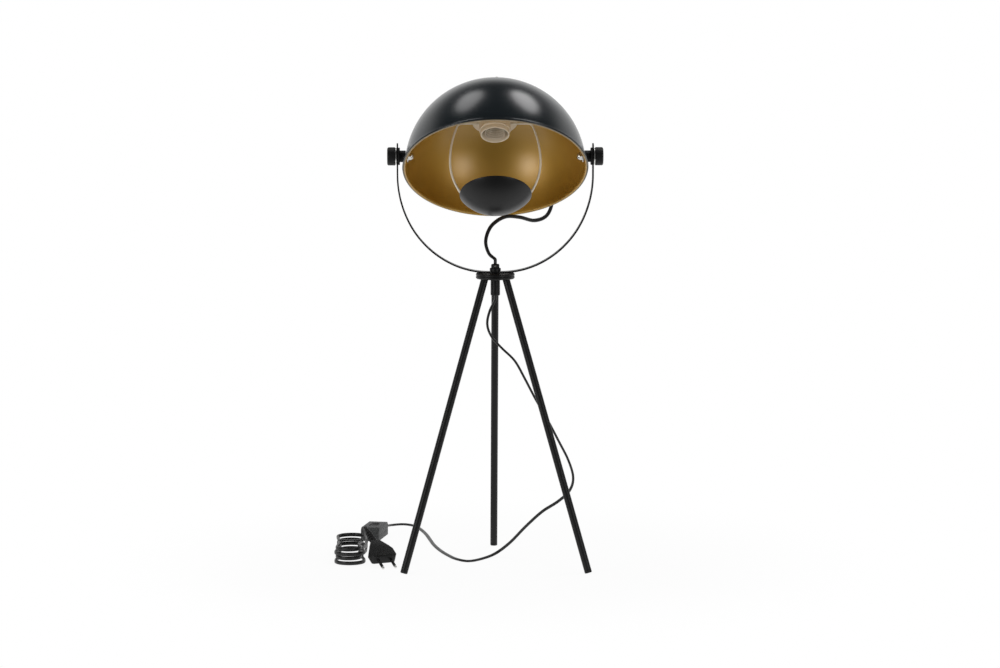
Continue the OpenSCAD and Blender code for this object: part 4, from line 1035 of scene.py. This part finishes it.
# %% The dish
DISH_R, DISH_DEPTH, DISH_WALL, DISH_PLAY = 49, 23.5, 1, 0.03
dish_ball = (DISH_R ** 2 + DISH_DEPTH ** 2) / (2 * DISH_DEPTH)
dish_touch = dish_ball - DISH_WALL - WIRE_BEND_R - WIRE_R - DISH_PLAY
dish_c = low_corner.z + math.sqrt(dish_touch ** 2 - low_corner.x ** 2)
edge_down = math.degrees(math.asin(DISH_R / dish_ball))
dish_outside = arc((0, dish_c), dish_ball, -90, edge_down - 90, 36)
dish_inside = arc((0, dish_c), dish_ball - DISH_WALL, edge_down - 90, -90, 36)
edge_c = (Vector(dish_outside[-1]) + Vector(dish_inside[0])) / 2
dish_edge = arc(edge_c, DISH_WALL / 2, edge_down - 90, edge_down + 90, 6)
dish = turned("spun_dish", dish_outside + dish_edge[1:-1] + dish_inside, steps=144)
fit(dish, IN_SHADE, dish_black, "shade", "black_steel", "reflector_dish", smooth=50)

# %% [markdown]
# ## The tilt pivots
# On each side a stud passes through a domed nut, a washer in the bowl, a black spacer, the strip
# with a washer on each face, and a clamping knob. All of them are round, so each is turned on the
# upright axis and laid on the tilt axis by its place. The other side gets a copy, and not a
# mirror image, because a mirror would turn the faces inside out.

# %% The washers on the strip
RIM_R = BEAD_C + BEAD_D / 2
YOKE_T, YOKE_W, RIM_GAP = 2, 15, 5.7
YOKE_IN = RIM_R + RIM_GAP
YOKE_OUT = YOKE_IN + YOKE_T
YOKE_MID = YOKE_IN + YOKE_T / 2
INNER_WASHER_R, INNER_WASHER_T, OUTER_WASHER_R, OUTER_WASHER_T = 12, 2.3, 11.5, 2
KNOB_Z = YOKE_OUT + OUTER_WASHER_T


def washer(name, bore, radius, low, high, edge=0.25):
    return turned(name, [(bore, low), (radius - edge, low), (radius, low + edge),
                         (radius, high - edge), (radius - edge, high), (bore, high)], steps=64)


fit_each(washer("outer_washer", STUD_HOLE_R, OUTER_WASHER_R, YOKE_OUT, KNOB_Z), BOTH_PIVOTS,
         plated, "shade", "plated_steel", "outer_washers")
spacer_top = YOKE_IN - INNER_WASHER_T
fit_each(washer("inner_washer", STUD_HOLE_R, INNER_WASHER_R, spacer_top, YOKE_IN, edge=0.5),
         BOTH_PIVOTS, black_plastic, "shade", "black_plastic", "inner_washers")

# %% The washers and domed nuts inside the bowl
SEAT_R, SEAT_T, SEAT_EDGE, SUNK = 8.5, 2.2, 0.3, 0.5
PIVOT_NUT_AF, PIVOT_NUT_H, PIVOT_DOME_H = 10, 4, 3.5
SEAT_Z = math.sqrt(BOWL_IN_R ** 2 - (PIVOT_H - BOWL_C) ** 2) - SEAT_T
PIVOT_NUT_Z = SEAT_Z - PIVOT_NUT_H


def under_ball(radius, ball):
    """The height at which a ball about the bowl's centre stands over a pivot's axis."""
    return math.sqrt(ball ** 2 - radius ** 2 - (PIVOT_H - BOWL_C) ** 2)


seat_top = under_ball(SEAT_R, BOWL_IN_R) - SUNK
seat = turned("bowl_washer", [(STUD_R, SEAT_Z), (SEAT_R - SEAT_EDGE, SEAT_Z),
                              (SEAT_R, SEAT_Z + SEAT_EDGE), (SEAT_R, seat_top), (STUD_R, seat_top)],
              steps=64)
fit_each(seat, BOTH_PIVOTS, plated, "shade", "plated_steel", "pivot_seats")

dome_ball = (PIVOT_NUT_AF ** 2 / 4 + PIVOT_DOME_H ** 2) / (2 * PIVOT_DOME_H)
dome_angle = math.degrees(math.asin(PIVOT_NUT_AF / 2 / dome_ball))
dome = arc((0, PIVOT_NUT_Z - PIVOT_DOME_H + dome_ball), dome_ball, -90, dome_angle - 90, 12)
nut_corner = PIVOT_NUT_AF / 2 / math.cos(math.pi / 6)
domed_nut = turned("domed_nut", dome + [(nut_corner, PIVOT_NUT_Z + CHAMFER),
                                        (nut_corner, SEAT_Z - 0.3), (nut_corner - CHAMFER, SEAT_Z),
                                        (0, SEAT_Z)], steps=48)
fit_each(hexed(domed_nut, PIVOT_NUT_AF), BOTH_PIVOTS, plated, "shade", "plated_steel",
         "pivot_nuts", smooth=25)

# %% Spacers and clamping knobs
SPACER_R, SPACER_PLAY = 8, 0.3
KNOB_R, KNOB_H, KNOB_ROUND, KNOB_EDGE, KNOB_PLAY = 12.5, 11, 2.5, 0.5, 0.05
spacer_low = under_ball(SPACER_R, BOWL_R) + SPACER_PLAY
spacer = turned("pivot_spacer", [(STUD_HOLE_R, spacer_low), (SPACER_R, spacer_low),
                                 (SPACER_R, spacer_top), (STUD_HOLE_R, spacer_top)], steps=64)
fit_each(spacer, BOTH_PIVOTS, black_plastic, "shade", "black_plastic", "pivot_spacers")

knob_top = KNOB_Z + KNOB_H
knob_bore_r, knob_bore_top = STUD_R + KNOB_PLAY, KNOB_Z + 0.75 * KNOB_H
knob_edge = arc((KNOB_R - KNOB_ROUND, knob_top - KNOB_ROUND), KNOB_ROUND, 0, 90, 12)
knob = turned("clamping_knob", [(knob_bore_r, KNOB_Z + CHAMFER), (knob_bore_r + CHAMFER, KNOB_Z),
                                (KNOB_R - KNOB_EDGE, KNOB_Z), (KNOB_R, KNOB_Z + KNOB_EDGE)]
              + knob_edge + [(0, knob_top), (0, knob_bore_top), (knob_bore_r, knob_bore_top)])
right_knob = copied(knob, "clamping_knob_right")
fit(knob, on_pivot(-1), black_plastic, "left_knob", "black_plastic", "knob_left")
fit(right_knob, on_pivot(1), black_plastic, "right_knob", "black_plastic", "knob_right")

# %% [markdown]
# ## The yoke
# The strip is flat steel, bent to a U that narrows to its foot, with a straight ear at each end.
# Its thickness stays the same round every bend, which an outline filled in would not promise. So
# its small section is pulled along and bent about three centres, and the half is mirrored. The
# ears are then rounded by what they share with a wide blank of that outline.

# %% Where the strip bends
YOKE_LAND, SHOULDER_R, BEND = 9, 145, math.radians(25)
EAR_UNDER, EAR_OVER = 25.3, 18
bend_in, bend_up = math.sin(BEND), math.cos(BEND)
shoulder_in = SHOULDER_R * (1 - bend_up)
foot_bend_r = (SHOULDER_R * bend_in - shoulder_in - YOKE_LAND) / (bend_in + bend_up - 1)
side_bend_r = (YOKE_MID - YOKE_LAND - shoulder_in - foot_bend_r * bend_in) / (bend_up - bend_in)
yoke_mid_z = PIVOT_Z - EAR_UNDER - YOKE_MID
side_c = (YOKE_LAND + (foot_bend_r - side_bend_r) * bend_in, 0,
          foot_bend_r - (foot_bend_r - side_bend_r) * bend_up)
print(f"the strip's bends: {foot_bend_r:.0f}, {side_bend_r:.0f} and {SHOULDER_R} mm")

# %% Bending, rounding and drilling the strip
bpy.ops.object.select_all(action="DESELECT")
bpy.ops.mesh.primitive_plane_add(size=1, rotation=(0, RIGHT_ANGLE, 0))
strip = bpy.context.active_object
strip.name = strip.data.name = "yoke_strip"
bpy.ops.transform.resize(value=(YOKE_T, YOKE_W, 1), orient_type="LOCAL")
bpy.ops.object.transform_apply(location=True, rotation=True, scale=True)
bpy.ops.object.mode_set(mode="EDIT")
bpy.ops.mesh.select_all(action="SELECT")
run(YOKE_LAND, 0)
bend((YOKE_LAND, 0, foot_bend_r), BEND, 16)
bend(side_c, RIGHT_ANGLE - 2 * BEND, 28)
bend((YOKE_MID - SHOULDER_R, 0, YOKE_MID), BEND, 20)
run(0, EAR_UNDER + EAR_OVER)
put(mirrored(close_up(strip)), Matrix.Translation((0, 0, yoke_mid_z)))
ear_c = PIVOT_Z + EAR_OVER - YOKE_W / 2
ear_outline = arc((0, 0), YOKE_W / 2, 0, 180, 24) + [(-YOKE_W / 2, -ear_c), (YOKE_W / 2, -ear_c)]
blank = plate("ear_blank", ear_outline, 4 * YOKE_IN)
put(blank, Matrix.Translation((-2 * YOKE_IN, 0, ear_c)) @ Matrix.Rotation(RIGHT_ANGLE, 4, "Z")
    @ Matrix.Rotation(RIGHT_ANGLE, 4, "X"))
cut(strip, blank, "INTERSECT")
cut(strip, drill(STUD_HOLE_R, (-2 * YOKE_IN, 0, PIVOT_Z), (2 * YOKE_IN, 0, PIVOT_Z)))
cut(strip, drill(NIPPLE_HOLE_R, (0, 0, yoke_mid_z - 5), (0, 0, yoke_mid_z + 5)))
rounded_edges(strip, width=0.35, steps=2, over=40)
fit(strip, AT_HUB, satin_black, "yoke", "black_steel", "yoke")

# %% [markdown]
# ## The hub
# A turned steel plate with a fine groove in its edge holds the three tubes, and a sleeve below it
# ends the threaded tube. The groove could be a dark line in the paint, but it catches the light
# on its rim, so it is in the plate's profile.

# %% Hub plate and sleeve
HUB_H, PLATE_R, PLATE_T, PLATE_CHAMFER, GROOVE, PLATE_EDGE = 398, 26.7, 8, 1.2, 0.7, 0.3
SLEEVE_R, SLEEVE_L, SLEEVE_EDGE = 6.5, 23, 0.8
plate_top = HUB_H + PLATE_T
groove = arc((PLATE_R, HUB_H + PLATE_T / 2), GROOVE, -90, -270, 8)
lower_edge = eased([(NIPPLE_HOLE_R, HUB_H), (PLATE_R - PLATE_CHAMFER, HUB_H),
                    (PLATE_R, HUB_H + PLATE_CHAMFER), groove[0]], PLATE_EDGE, 3)
upper_edge = eased([groove[-1], (PLATE_R, plate_top - PLATE_CHAMFER),
                    (PLATE_R - PLATE_CHAMFER, plate_top), (NIPPLE_HOLE_R, plate_top)], PLATE_EDGE, 3)
fit(turned("turned_hub_plate", lower_edge + groove[1:-1] + upper_edge, steps=128), AT_HUB,
    satin_black, "tripod", "black_steel", "hub_plate", smooth=30)

sleeve_low = HUB_H - SLEEVE_L
nipple_low = HUB_H - SLEEVE_L / 2
sleeve = turned("hub_sleeve_tube", [(NIPPLE_BORE_R + CHAMFER, sleeve_low),
                                    (SLEEVE_R - SLEEVE_EDGE, sleeve_low),
                                    (SLEEVE_R, sleeve_low + SLEEVE_EDGE), (SLEEVE_R, HUB_H),
                                    (NIPPLE_R, HUB_H), (NIPPLE_R, nipple_low),
                                    (NIPPLE_BORE_R, nipple_low),
                                    (NIPPLE_BORE_R, sleeve_low + CHAMFER)], steps=64)
fit(sleeve, AT_HUB, satin_black, "tripod", "black_steel", "hub_sleeve")

# %% [markdown]
# ## The legs
# A leg is a piece of tube cut on the slant where it meets the plate, and a black cap closes its
# foot, cut flat by the floor that it stands on. The slant could be worked out for each end. It is
# simpler to make the tube too long, lean it, and cut off what lies above the plate's underside
# and below the floor.

# %% Legs and their caps
LEG_R, LEG_IN_R, LEG_RING, FOOT_RING = 5, 3.8, 17, 146
FOOT_HEAD, FOOT_STEM, FOOT_RISE, FOOT_ROUND, LEG_EDGE = 4, 14, 0.4, 1, 0.2
SPLAY = math.atan((FOOT_RING - LEG_RING) / HUB_H)
CAP_FACE = (HUB_H - FOOT_RISE) / math.cos(SPLAY)
LEG_TURNS = {"leg_front_left": -150, "leg_front_right": -30, "leg_rear": 90}
ABOVE_HUB = ((-40, -40, HUB_H), (40, 40, HUB_H + 40))
BELOW_FLOOR = ((-200, -200, -20), (200, 200, 0))


def on_leg(turn):
    """A leg's axis as Z, downwards from the hub plate's underside."""
    return (Matrix.Rotation(math.radians(turn), 4, "Z") @ Matrix.Translation((LEG_RING, 0, HUB_H))
            @ Matrix.Rotation(math.pi - SPLAY, 4, "Y"))


tube_l = CAP_FACE - FOOT_HEAD
stem_end = tube_l - FOOT_STEM
leg_tube = turned("leg_tube", [(LEG_IN_R, -2 * LEG_R), (LEG_R, -2 * LEG_R),
                               (LEG_R, tube_l - LEG_EDGE), (LEG_R - LEG_EDGE, tube_l),
                               (LEG_IN_R, tube_l)], steps=48)
cap_edge = arc((LEG_R - FOOT_ROUND, CAP_FACE - FOOT_ROUND), FOOT_ROUND, 0, 90, 6)
foot_cap = turned("foot_cap", [(0, stem_end), (LEG_IN_R - CHAMFER, stem_end),
                               (LEG_IN_R, stem_end + CHAMFER), (LEG_IN_R, tube_l),
                               (LEG_R - LEG_EDGE, tube_l), (LEG_R, tube_l + LEG_EDGE)] + cap_edge
                  + [(0, CAP_FACE)], steps=48)
for node_name, turn in LEG_TURNS.items():
    tube = put(copied(leg_tube, f"tube_{node_name}"), on_leg(turn))
    cut(tube, block(*ABOVE_HUB))
    fit(tube, AT_HUB, satin_black, "tripod", "black_steel", node_name)
    cap = put(copied(foot_cap, f"foot_cap_{node_name}"), on_leg(turn))
    cut(cap, block(*BELOW_FLOOR))
    fit(cap, AT_HUB, black_plastic, "tripod", "black_plastic", "foot_caps")
bpy.data.objects.remove(leg_tube)
bpy.data.objects.remove(foot_cap)

# %% [markdown]
# ## The switch on the cord
# The switch is a two-part moulding with sloping ends and rounded corners. A bevelled box would
# round all its edges alike. So its outline from above and its outline from the side are each
# pulled to a block, and what the two blocks share is the switch. It is made once for each half,
# up to its seam, and the rocker's opening is cut in the cover.

# %% Switch base and cover
SWITCH_W, SWITCH_H, SWITCH_ROUND = 27, 19, 6
BASE_DRAFT, BASE_FLANK, COVER_FLANK, END_SLOPE = 2, 4, 3, 9
ROCKER_L, ROCKER_W, ROCKER_GAP, ROCKER_ANGLE = 20, 11, 0.4, math.radians(6)
ROCKER_AXIS_Z = SWITCH_H - 5
AT_SWITCH = (AT_HUB @ Matrix.Translation(SWITCH_AT)
             @ Matrix.Rotation(-RIGHT_ANGLE - SWITCH_HEADING, 4, "Z"))
UPRIGHT = Matrix.Rotation(RIGHT_ANGLE, 4, "X")


def round_corners(half_l, half_w, radius, steps=6):
    """A rectangle's outline with round corners."""
    outline = []
    for k, (x, y) in enumerate([(1, 1), (-1, 1), (-1, -1), (1, -1)]):
        centre = (x * (half_l - radius), y * (half_w - radius))
        outline += arc(centre, radius, 90 * k, 90 * k + 90, steps)
    return outline


def switch_half(name, low, high):
    """What the switch's outline from above, between two heights, shares with that from the side."""
    end = SWITCH_L / 2
    plan = plate(name, round_corners(end, SWITCH_W / 2, SWITCH_ROUND), high - low)
    put(plan, Matrix.Translation((0, 0, low)))
    side = plate("switch_side", [(-end, BASE_H - BASE_FLANK), (-end + BASE_DRAFT, 0),
                                 (end - BASE_DRAFT, 0), (end, BASE_H - BASE_FLANK),
                                 (end, BASE_H + COVER_FLANK), (end - END_SLOPE, SWITCH_H),
                                 (-end + END_SLOPE, SWITCH_H), (-end, BASE_H + COVER_FLANK)],
                 2 * SWITCH_W)
    put(side, Matrix.Translation((0, SWITCH_W, 0)) @ UPRIGHT)
    return cut(plan, side, "INTERSECT")


base = switch_half("switch_base_moulding", 0, BASE_H)
rounded_edges(base, width=0.5, steps=3, over=24)
fit(base, AT_SWITCH, switch_plastic, "tripod", "switch_plastic", "switch_base")
cover = switch_half("switch_cover_moulding", BASE_H, SWITCH_H)
rounded_edges(cover, width=0.6, steps=3, over=24)
opening = Vector((ROCKER_L / 2 + ROCKER_GAP, ROCKER_W / 2 + ROCKER_GAP))
cut(cover, block((-opening.x, -opening.y, ROCKER_AXIS_Z - 4), (opening.x, opening.y, SWITCH_H + 1)))
fit(cover, AT_SWITCH, switch_plastic, "tripod", "switch_plastic", "switch_cover")

# %% [markdown]
# The rocker is hollowed along its top for a fingertip and has a narrow root. Its outline from the
# side is pulled to its width, and it is laid at the angle of one of its two places.

# %% The rocker
ROCKER_SIDE = [(-9.4, 3), (-9.4, 5.4), (-7, 5.2), (-3.5, 4.7), (0, 4.6), (3.5, 4.7), (7, 5.2),
               (9.4, 5.4), (9.4, 3), (3, -3), (-3, -3)]
rocker = plate("switch_rocker_moulding", ROCKER_SIDE, ROCKER_W)
rounded_edges(rocker, width=0.3, steps=2, over=40)
tipped = Matrix.Translation((0, 0, ROCKER_AXIS_Z)) @ Matrix.Rotation(ROCKER_ANGLE, 4, "Y")
fit(rocker, AT_SWITCH @ tipped @ Matrix.Translation((0, ROCKER_W / 2, 0)) @ UPRIGHT,
    black_plastic, "rocker", "black_plastic", "switch_rocker")

# %% [markdown]
# ## The tie
# A thin black band holds the hank together. A torus would cut through the cords at its corners,
# so the band is a block with round corners, less another that just clears the cords.

# %% The tie
TIE_W, TIE_CORNER = 5, 2
tie_half_w = HANK_FOLD_R * (1 - HANK_WAIST) + CORD_T / 2 + TIE_PLAY
tie_low = HANK_Z - CORD_W / 2 - TIE_PLAY
tie_half_h = (HANK_TOP + TIE_PLAY - tie_low) / 2
tie_outline = round_corners(tie_half_w + TIE_T, tie_half_h + TIE_T, TIE_CORNER + TIE_T)
tie = plate("hank_tie", tie_outline, TIE_W)
inside = plate("tie_inside", round_corners(tie_half_w, tie_half_h, TIE_CORNER), 3 * TIE_W)
put(inside, Matrix.Translation((0, 0, -TIE_W)))
cut(tie, inside)
rounded_edges(tie, width=0.2, steps=2, over=40)
tie_at = Vector((HANK_AT[0], HANK_AT[1] + TIE_W / 2, tie_low + tie_half_h))
fit(tie, AT_HUB @ Matrix.Translation(tie_at) @ UPRIGHT,
    black_plastic, "tripod", "black_plastic", "cord_tie")

# %% [markdown]
# ## The plug
# The plug is a moulded one. Seen from above it narrows towards the cord, and seen from the side it
# does too, so it is made like the switch, by what two outlines share. Its strain relief is a
# turned piece whose ribs get smaller, because ribs drawn in bump alone would leave it smooth
# against the light.

# %% The plug's body
PLUG_W, PLUG_T, PIN_PITCH = 35.3, 13.7, 18.6
NECK_W, NECK_T, FACE_EDGE_W, FACE_EDGE_T = 13, 10.8, 3, 1.5
AT_PLUG = (AT_HUB @ Matrix.Translation((*PLUG_TIP, plug_tip_z))
           @ Matrix.Rotation(RIGHT_ANGLE + PLUG_HEADING, 4, "Z") @ Matrix.Rotation(-PLUG_SLOPE, 4, "Y"))


def tapered(face, neck, shoulder, edge):
    """A plug's outline: straight from its face to the shoulder, then narrowing to its neck."""
    wide, narrow = face / 2, neck / 2
    return [(0, -wide + edge), (edge, -wide), (shoulder, -wide), (PLUG_L, -narrow),
            (PLUG_L, narrow), (shoulder, wide), (edge, wide), (0, wide - edge)]


plug = plate("plug_moulding", tapered(PLUG_W, NECK_W, 0.42 * PLUG_L, FACE_EDGE_W), PLUG_T)
put(plug, Matrix.Translation((0, 0, -PLUG_T / 2)))
side = plate("plug_side", tapered(PLUG_T, NECK_T, 0.6 * PLUG_L, FACE_EDGE_T), 2 * PLUG_W)
put(side, Matrix.Translation((0, PLUG_W, 0)) @ UPRIGHT)
cut(plug, side, "INTERSECT")
rounded_edges(plug, width=0.9, steps=3, over=24)
fit(plug, AT_PLUG @ Matrix.Translation((PIN_L, 0, 0)),
    black_plastic, "tripod", "black_plastic", "plug_body")

# %% The strain relief
RELIEF_RIBS, RIB_SHARE, RIB_EDGE, RELIEF_END_R = 5, 0.6, 0.2, 3.45
RIB_R, RIB_SHRINK, CORE_R, CORE_SHRINK = 5.2, 0.25, 4.5, 1.2
rib_pitch = (RELIEF_L - 4) / RELIEF_RIBS
relief_profile = [(0, -1), (CORE_R + 0.1, -1)]
for i in range(RELIEF_RIBS):
    low = i * rib_pitch
    high = low + RIB_SHARE * rib_pitch
    core = CORE_R - CORE_SHRINK * low / RELIEF_L
    out = RIB_R - RIB_SHRINK * i
    relief_profile += [(core, low), (out - RIB_EDGE, low), (out, low + RIB_EDGE),
                       (out, high - RIB_EDGE), (out - RIB_EDGE, high), (core - 0.1, high)]
relief_profile += [(RELIEF_END_R, RELIEF_L - 0.3), (RELIEF_END_R - 0.3, RELIEF_L), (0, RELIEF_L)]
relief = turned("plug_strain_relief", relief_profile, steps=48)
ALONG_PLUG = Matrix.Rotation(RIGHT_ANGLE, 4, "Y")
fit(relief, AT_PLUG @ Matrix.Translation((PIN_L + PLUG_L, 0, 0)) @ ALONG_PLUG,
    black_plastic, "tripod", "black_plastic", "plug_body")

# %% [markdown]
# The two pins are turned and plated, and sleeved in black almost to their tips. The sleeve is a
# hair thicker than the bare tip, so the pin has a step there, and the two finishes meet at it.

# %% The pins
PIN_R = PIN_D / 2
SLEEVED_FROM, SLEEVE_STEP, TIP_EDGE = 3, 0.1, 0.7
bare_r = PIN_R - SLEEVE_STEP
pin = turned("plug_pin", [(0, 0), (PIN_R - TIP_EDGE, 0), (bare_r, TIP_EDGE), (bare_r, SLEEVED_FROM),
                          (PIN_R, SLEEVED_FROM + 0.2), (PIN_R, PIN_L), (0, PIN_L)], steps=40)
pin.data.materials.append(plated)
paint_faces(pin, black_plastic, lambda face: face.calc_center_median().z > SLEEVED_FROM + 0.01)
pin_places = [AT_PLUG @ Matrix.Translation((0, y * PIN_PITCH / 2, 0)) @ ALONG_PLUG for y in (-1, 1)]
pins = fit_each(pin, pin_places, None, "tripod", "plated_steel", "plug_pins")

# %% [markdown]

# %% [markdown]
# Pieces that hardly show, such as the studs, the threaded tubes and the cord inside the hub, keep
# their solids. They would gain nothing from being made again, but each still gets its finish.

# %% Finish of the solids that stay
FINISH_OF_SLOT = {"black_steel": satin_black, "black_plastic": black_plastic, "brass": brass,
                  "switch_plastic": switch_plastic, "cord_jacket": cord_jacket,
                  "cream_plastic": cream_plastic, "ceramic": ceramic, "wire_enamel": cream_enamel,
                  "plated_steel": plated, "shade_enamel": gloss_black}
OWN_FINISH = {"swivel_washer": satin_black, "hub_nipple": satin_black}
for part in frame["record"]["subparts"]:
    solid = frame["nodes"][part["node"]]
    if not solid.hide_render:
        finish = OWN_FINISH.get(part["node"], FINISH_OF_SLOT[part["material_slot"]])
        solid.data.materials.clear()
        solid.data.materials.append(finish)
        print(f"{part['node']} keeps its solid, in {finish.name}")

# %% [markdown]
# ## The studio
# The photograph shows the lamp on pure white. Brighter lamps would make the floor white, but they
# would bleach the gold too. So the floor and the world are white to the camera alone, while the
# lamps light the object at a plain level. Reflections and glass see the same white sweep behind
# the lamp, and a dim studio above it and on the side where the photographer stands, which is what
# keeps the black paint black. Near the lamp the floor keeps its own shade, so that the feet stand
# on something, and further away it fades into the white.

# %% Helpers for the studio's nodes


def ramp(tree, value, before, after):
    """A smooth step of a value, from (position, result) to (position, result)."""
    step = node(tree, "ShaderNodeMapRange", interpolation_type="SMOOTHSTEP")
    limits = {"From Min": before[0], "From Max": after[0], "To Min": before[1], "To Max": after[1]}
    for label, number in limits.items():
        step.inputs[label].default_value = number
    tree.links.new(value, step.inputs["Value"])
    return step.outputs["Result"]


def larger(tree, first, second):
    most = node(tree, "ShaderNodeMath", operation="MAXIMUM")
    tree.links.new(first, most.inputs[0])
    tree.links.new(second, most.inputs[1])
    return most.outputs[0]


def chosen(tree, factor, otherwise, value):
    """The value where the factor is 1, and the other one where it is 0."""
    mix = node(tree, "ShaderNodeMix", data_type="FLOAT")
    tree.links.new(factor, mix.inputs["Factor"])
    for socket, given in ((mix.inputs["A"], otherwise), (mix.inputs["B"], value)):
        if isinstance(given, (int, float)):
            socket.default_value = given
        else:
            tree.links.new(given, socket)
    return mix.outputs["Result"]


def part_of(tree, place, axis):
    """One coordinate of a place or a direction: Y is how far back it lies and Z how high."""
    split = node(tree, "ShaderNodeSeparateXYZ")
    tree.links.new(place, split.inputs[0])
    return split.outputs[axis]


def kinds_of_ray(tree):
    """Two masks: the camera's own rays, and those that a mirror or glass sends on."""
    rays = node(tree, "ShaderNodeLightPath").outputs
    return rays["Is Camera Ray"], larger(tree, rays["Is Glossy Ray"], rays["Is Transmission Ray"])


# %% The floor
FLOOR_SIDE, FLOOR_WHITE = 24, 0.97
DIM_STUDIO = 0.1
SHADE_KEPT, FADE_FROM, FADE_TO = 0.07, 0.2, 0.6
DIM_FROM_Y, WHITE_FROM_Y = -0.9, -0.2
floor_material = bpy.data.materials.new("studio_floor")
floor_material.use_nodes = True
tree = floor_material.node_tree
tree.nodes.remove(tree.nodes["Principled BSDF"])
place = node(tree, "ShaderNodeTexCoord").outputs["Object"]
camera_rays, mirrored_rays = kinds_of_ray(tree)
away = node(tree, "ShaderNodeVectorMath", operation="LENGTH")
tree.links.new(place, away.inputs[0])
white_share = ramp(tree, away.outputs["Value"], (FADE_FROM, 1 - SHADE_KEPT), (FADE_TO, 1))
shown = chosen(tree, larger(tree, camera_rays, mirrored_rays), 0.0, white_share)
floor_seen = ramp(tree, part_of(tree, place, "Y"), (DIM_FROM_Y, DIM_STUDIO), (WHITE_FROM_Y, 1))
matte = node(tree, "ShaderNodeBsdfDiffuse", Color=(*grey(FLOOR_WHITE), 1))
glow = node(tree, "ShaderNodeEmission", Color=(1, 1, 1, 1))
tree.links.new(chosen(tree, mirrored_rays, 1.0, floor_seen), glow.inputs["Strength"])
both = node(tree, "ShaderNodeMixShader")
tree.links.new(shown, both.inputs["Fac"])
tree.links.new(matte.outputs[0], both.inputs[1])
tree.links.new(glow.outputs[0], both.inputs[2])
tree.links.new(both.outputs[0], tree.nodes["Material Output"].inputs["Surface"])
bpy.ops.object.select_all(action="DESELECT")
bpy.ops.mesh.primitive_plane_add(size=FLOOR_SIDE, location=(0, 0, 0))
floor = bpy.context.active_object
floor.name = "studio_floor"
floor.data.materials.append(floor_material)
print("the floor is", [round(side, 1) for side in floor.dimensions[:2]], "metres")

# %% [markdown]
# The world stands for the rest of the studio. By the height of a direction it turns from the
# white sweep to a dim ceiling, and from back to front it gets dim as the floor does.

# %% The world
FILL = 0.45
SWEEP_DIM_Y, SWEEP_WHITE_Y, CEILING_FROM_Z, CEILING_TO_Z = 0, 0.5, 0.35, 0.75
world = bpy.data.worlds.new("studio_world")
bpy.context.scene.world = world
world.use_nodes = True
tree = world.node_tree
backdrop = tree.nodes["Background"]
backdrop.inputs["Color"].default_value = (1, 1, 1, 1)
direction = node(tree, "ShaderNodeTexCoord").outputs["Generated"]
camera_rays, mirrored_rays = kinds_of_ray(tree)
sweep_seen = ramp(tree, part_of(tree, direction, "Y"), (SWEEP_DIM_Y, DIM_STUDIO), (SWEEP_WHITE_Y, 1))
under_ceiling = ramp(tree, part_of(tree, direction, "Z"), (CEILING_FROM_Z, 1), (CEILING_TO_Z, 0))
studio_seen = chosen(tree, under_ceiling, DIM_STUDIO / 2, sweep_seen)
behind_glass = chosen(tree, mirrored_rays, FILL, studio_seen)
tree.links.new(chosen(tree, camera_rays, behind_glass, 1.0), backdrop.inputs["Strength"])
print("the world has", len(tree.nodes), "nodes")

# %% [markdown]
# Two large softboxes stand low in front, at the left and the right. They reach into the bowl and
# give the gold its two highlights, the one from the left lamp being stronger. Two smaller ones
# hang above and a little behind, and make the two soft patches on the black bowl. Point lamps
# would give the same places hard white dots, so all four are wide ellipses.

# %% The softboxes
LAMP_MIDDLE = Vector((0, 0, 0.5))
FRONT_AWAY, TOP_AWAY = 2.1, 1.3
FRONT_SIZE, TOP_SIZE = (0.9, 0.9), (0.75, 0.45)


def softbox(name, azimuth, elevation, distance, size, power):
    """An area light that faces the lamp; the azimuth is measured from the front to the right."""
    turn, rise = math.radians(azimuth), math.radians(elevation)
    out = Vector((math.sin(turn) * math.cos(rise), -math.cos(turn) * math.cos(rise), math.sin(rise)))
    data = bpy.data.lights.new(name, "AREA")
    data.shape = "ELLIPSE"
    data.size, data.size_y, data.energy = size[0], size[1], power
    lamp = bpy.data.objects.new(name, data)
    bpy.context.scene.collection.objects.link(lamp)
    lamp.location = LAMP_MIDDLE + distance * out
    lamp.rotation_euler = (-out).to_track_quat("-Z", "Y").to_euler()
    lamp.visible_camera = False


softbox("softbox_front_left", -47, 2, FRONT_AWAY, FRONT_SIZE, power=11.5)
softbox("softbox_front_right", 44, 2, FRONT_AWAY, FRONT_SIZE, power=8)
softbox("softbox_top_left", -120, 66, TOP_AWAY, TOP_SIZE, power=3)
softbox("softbox_top_right", 119, 63, TOP_AWAY, TOP_SIZE, power=4.8)
bpy.context.scene.view_settings.view_transform = "Standard"
print(len(bpy.data.lights), "softboxes")
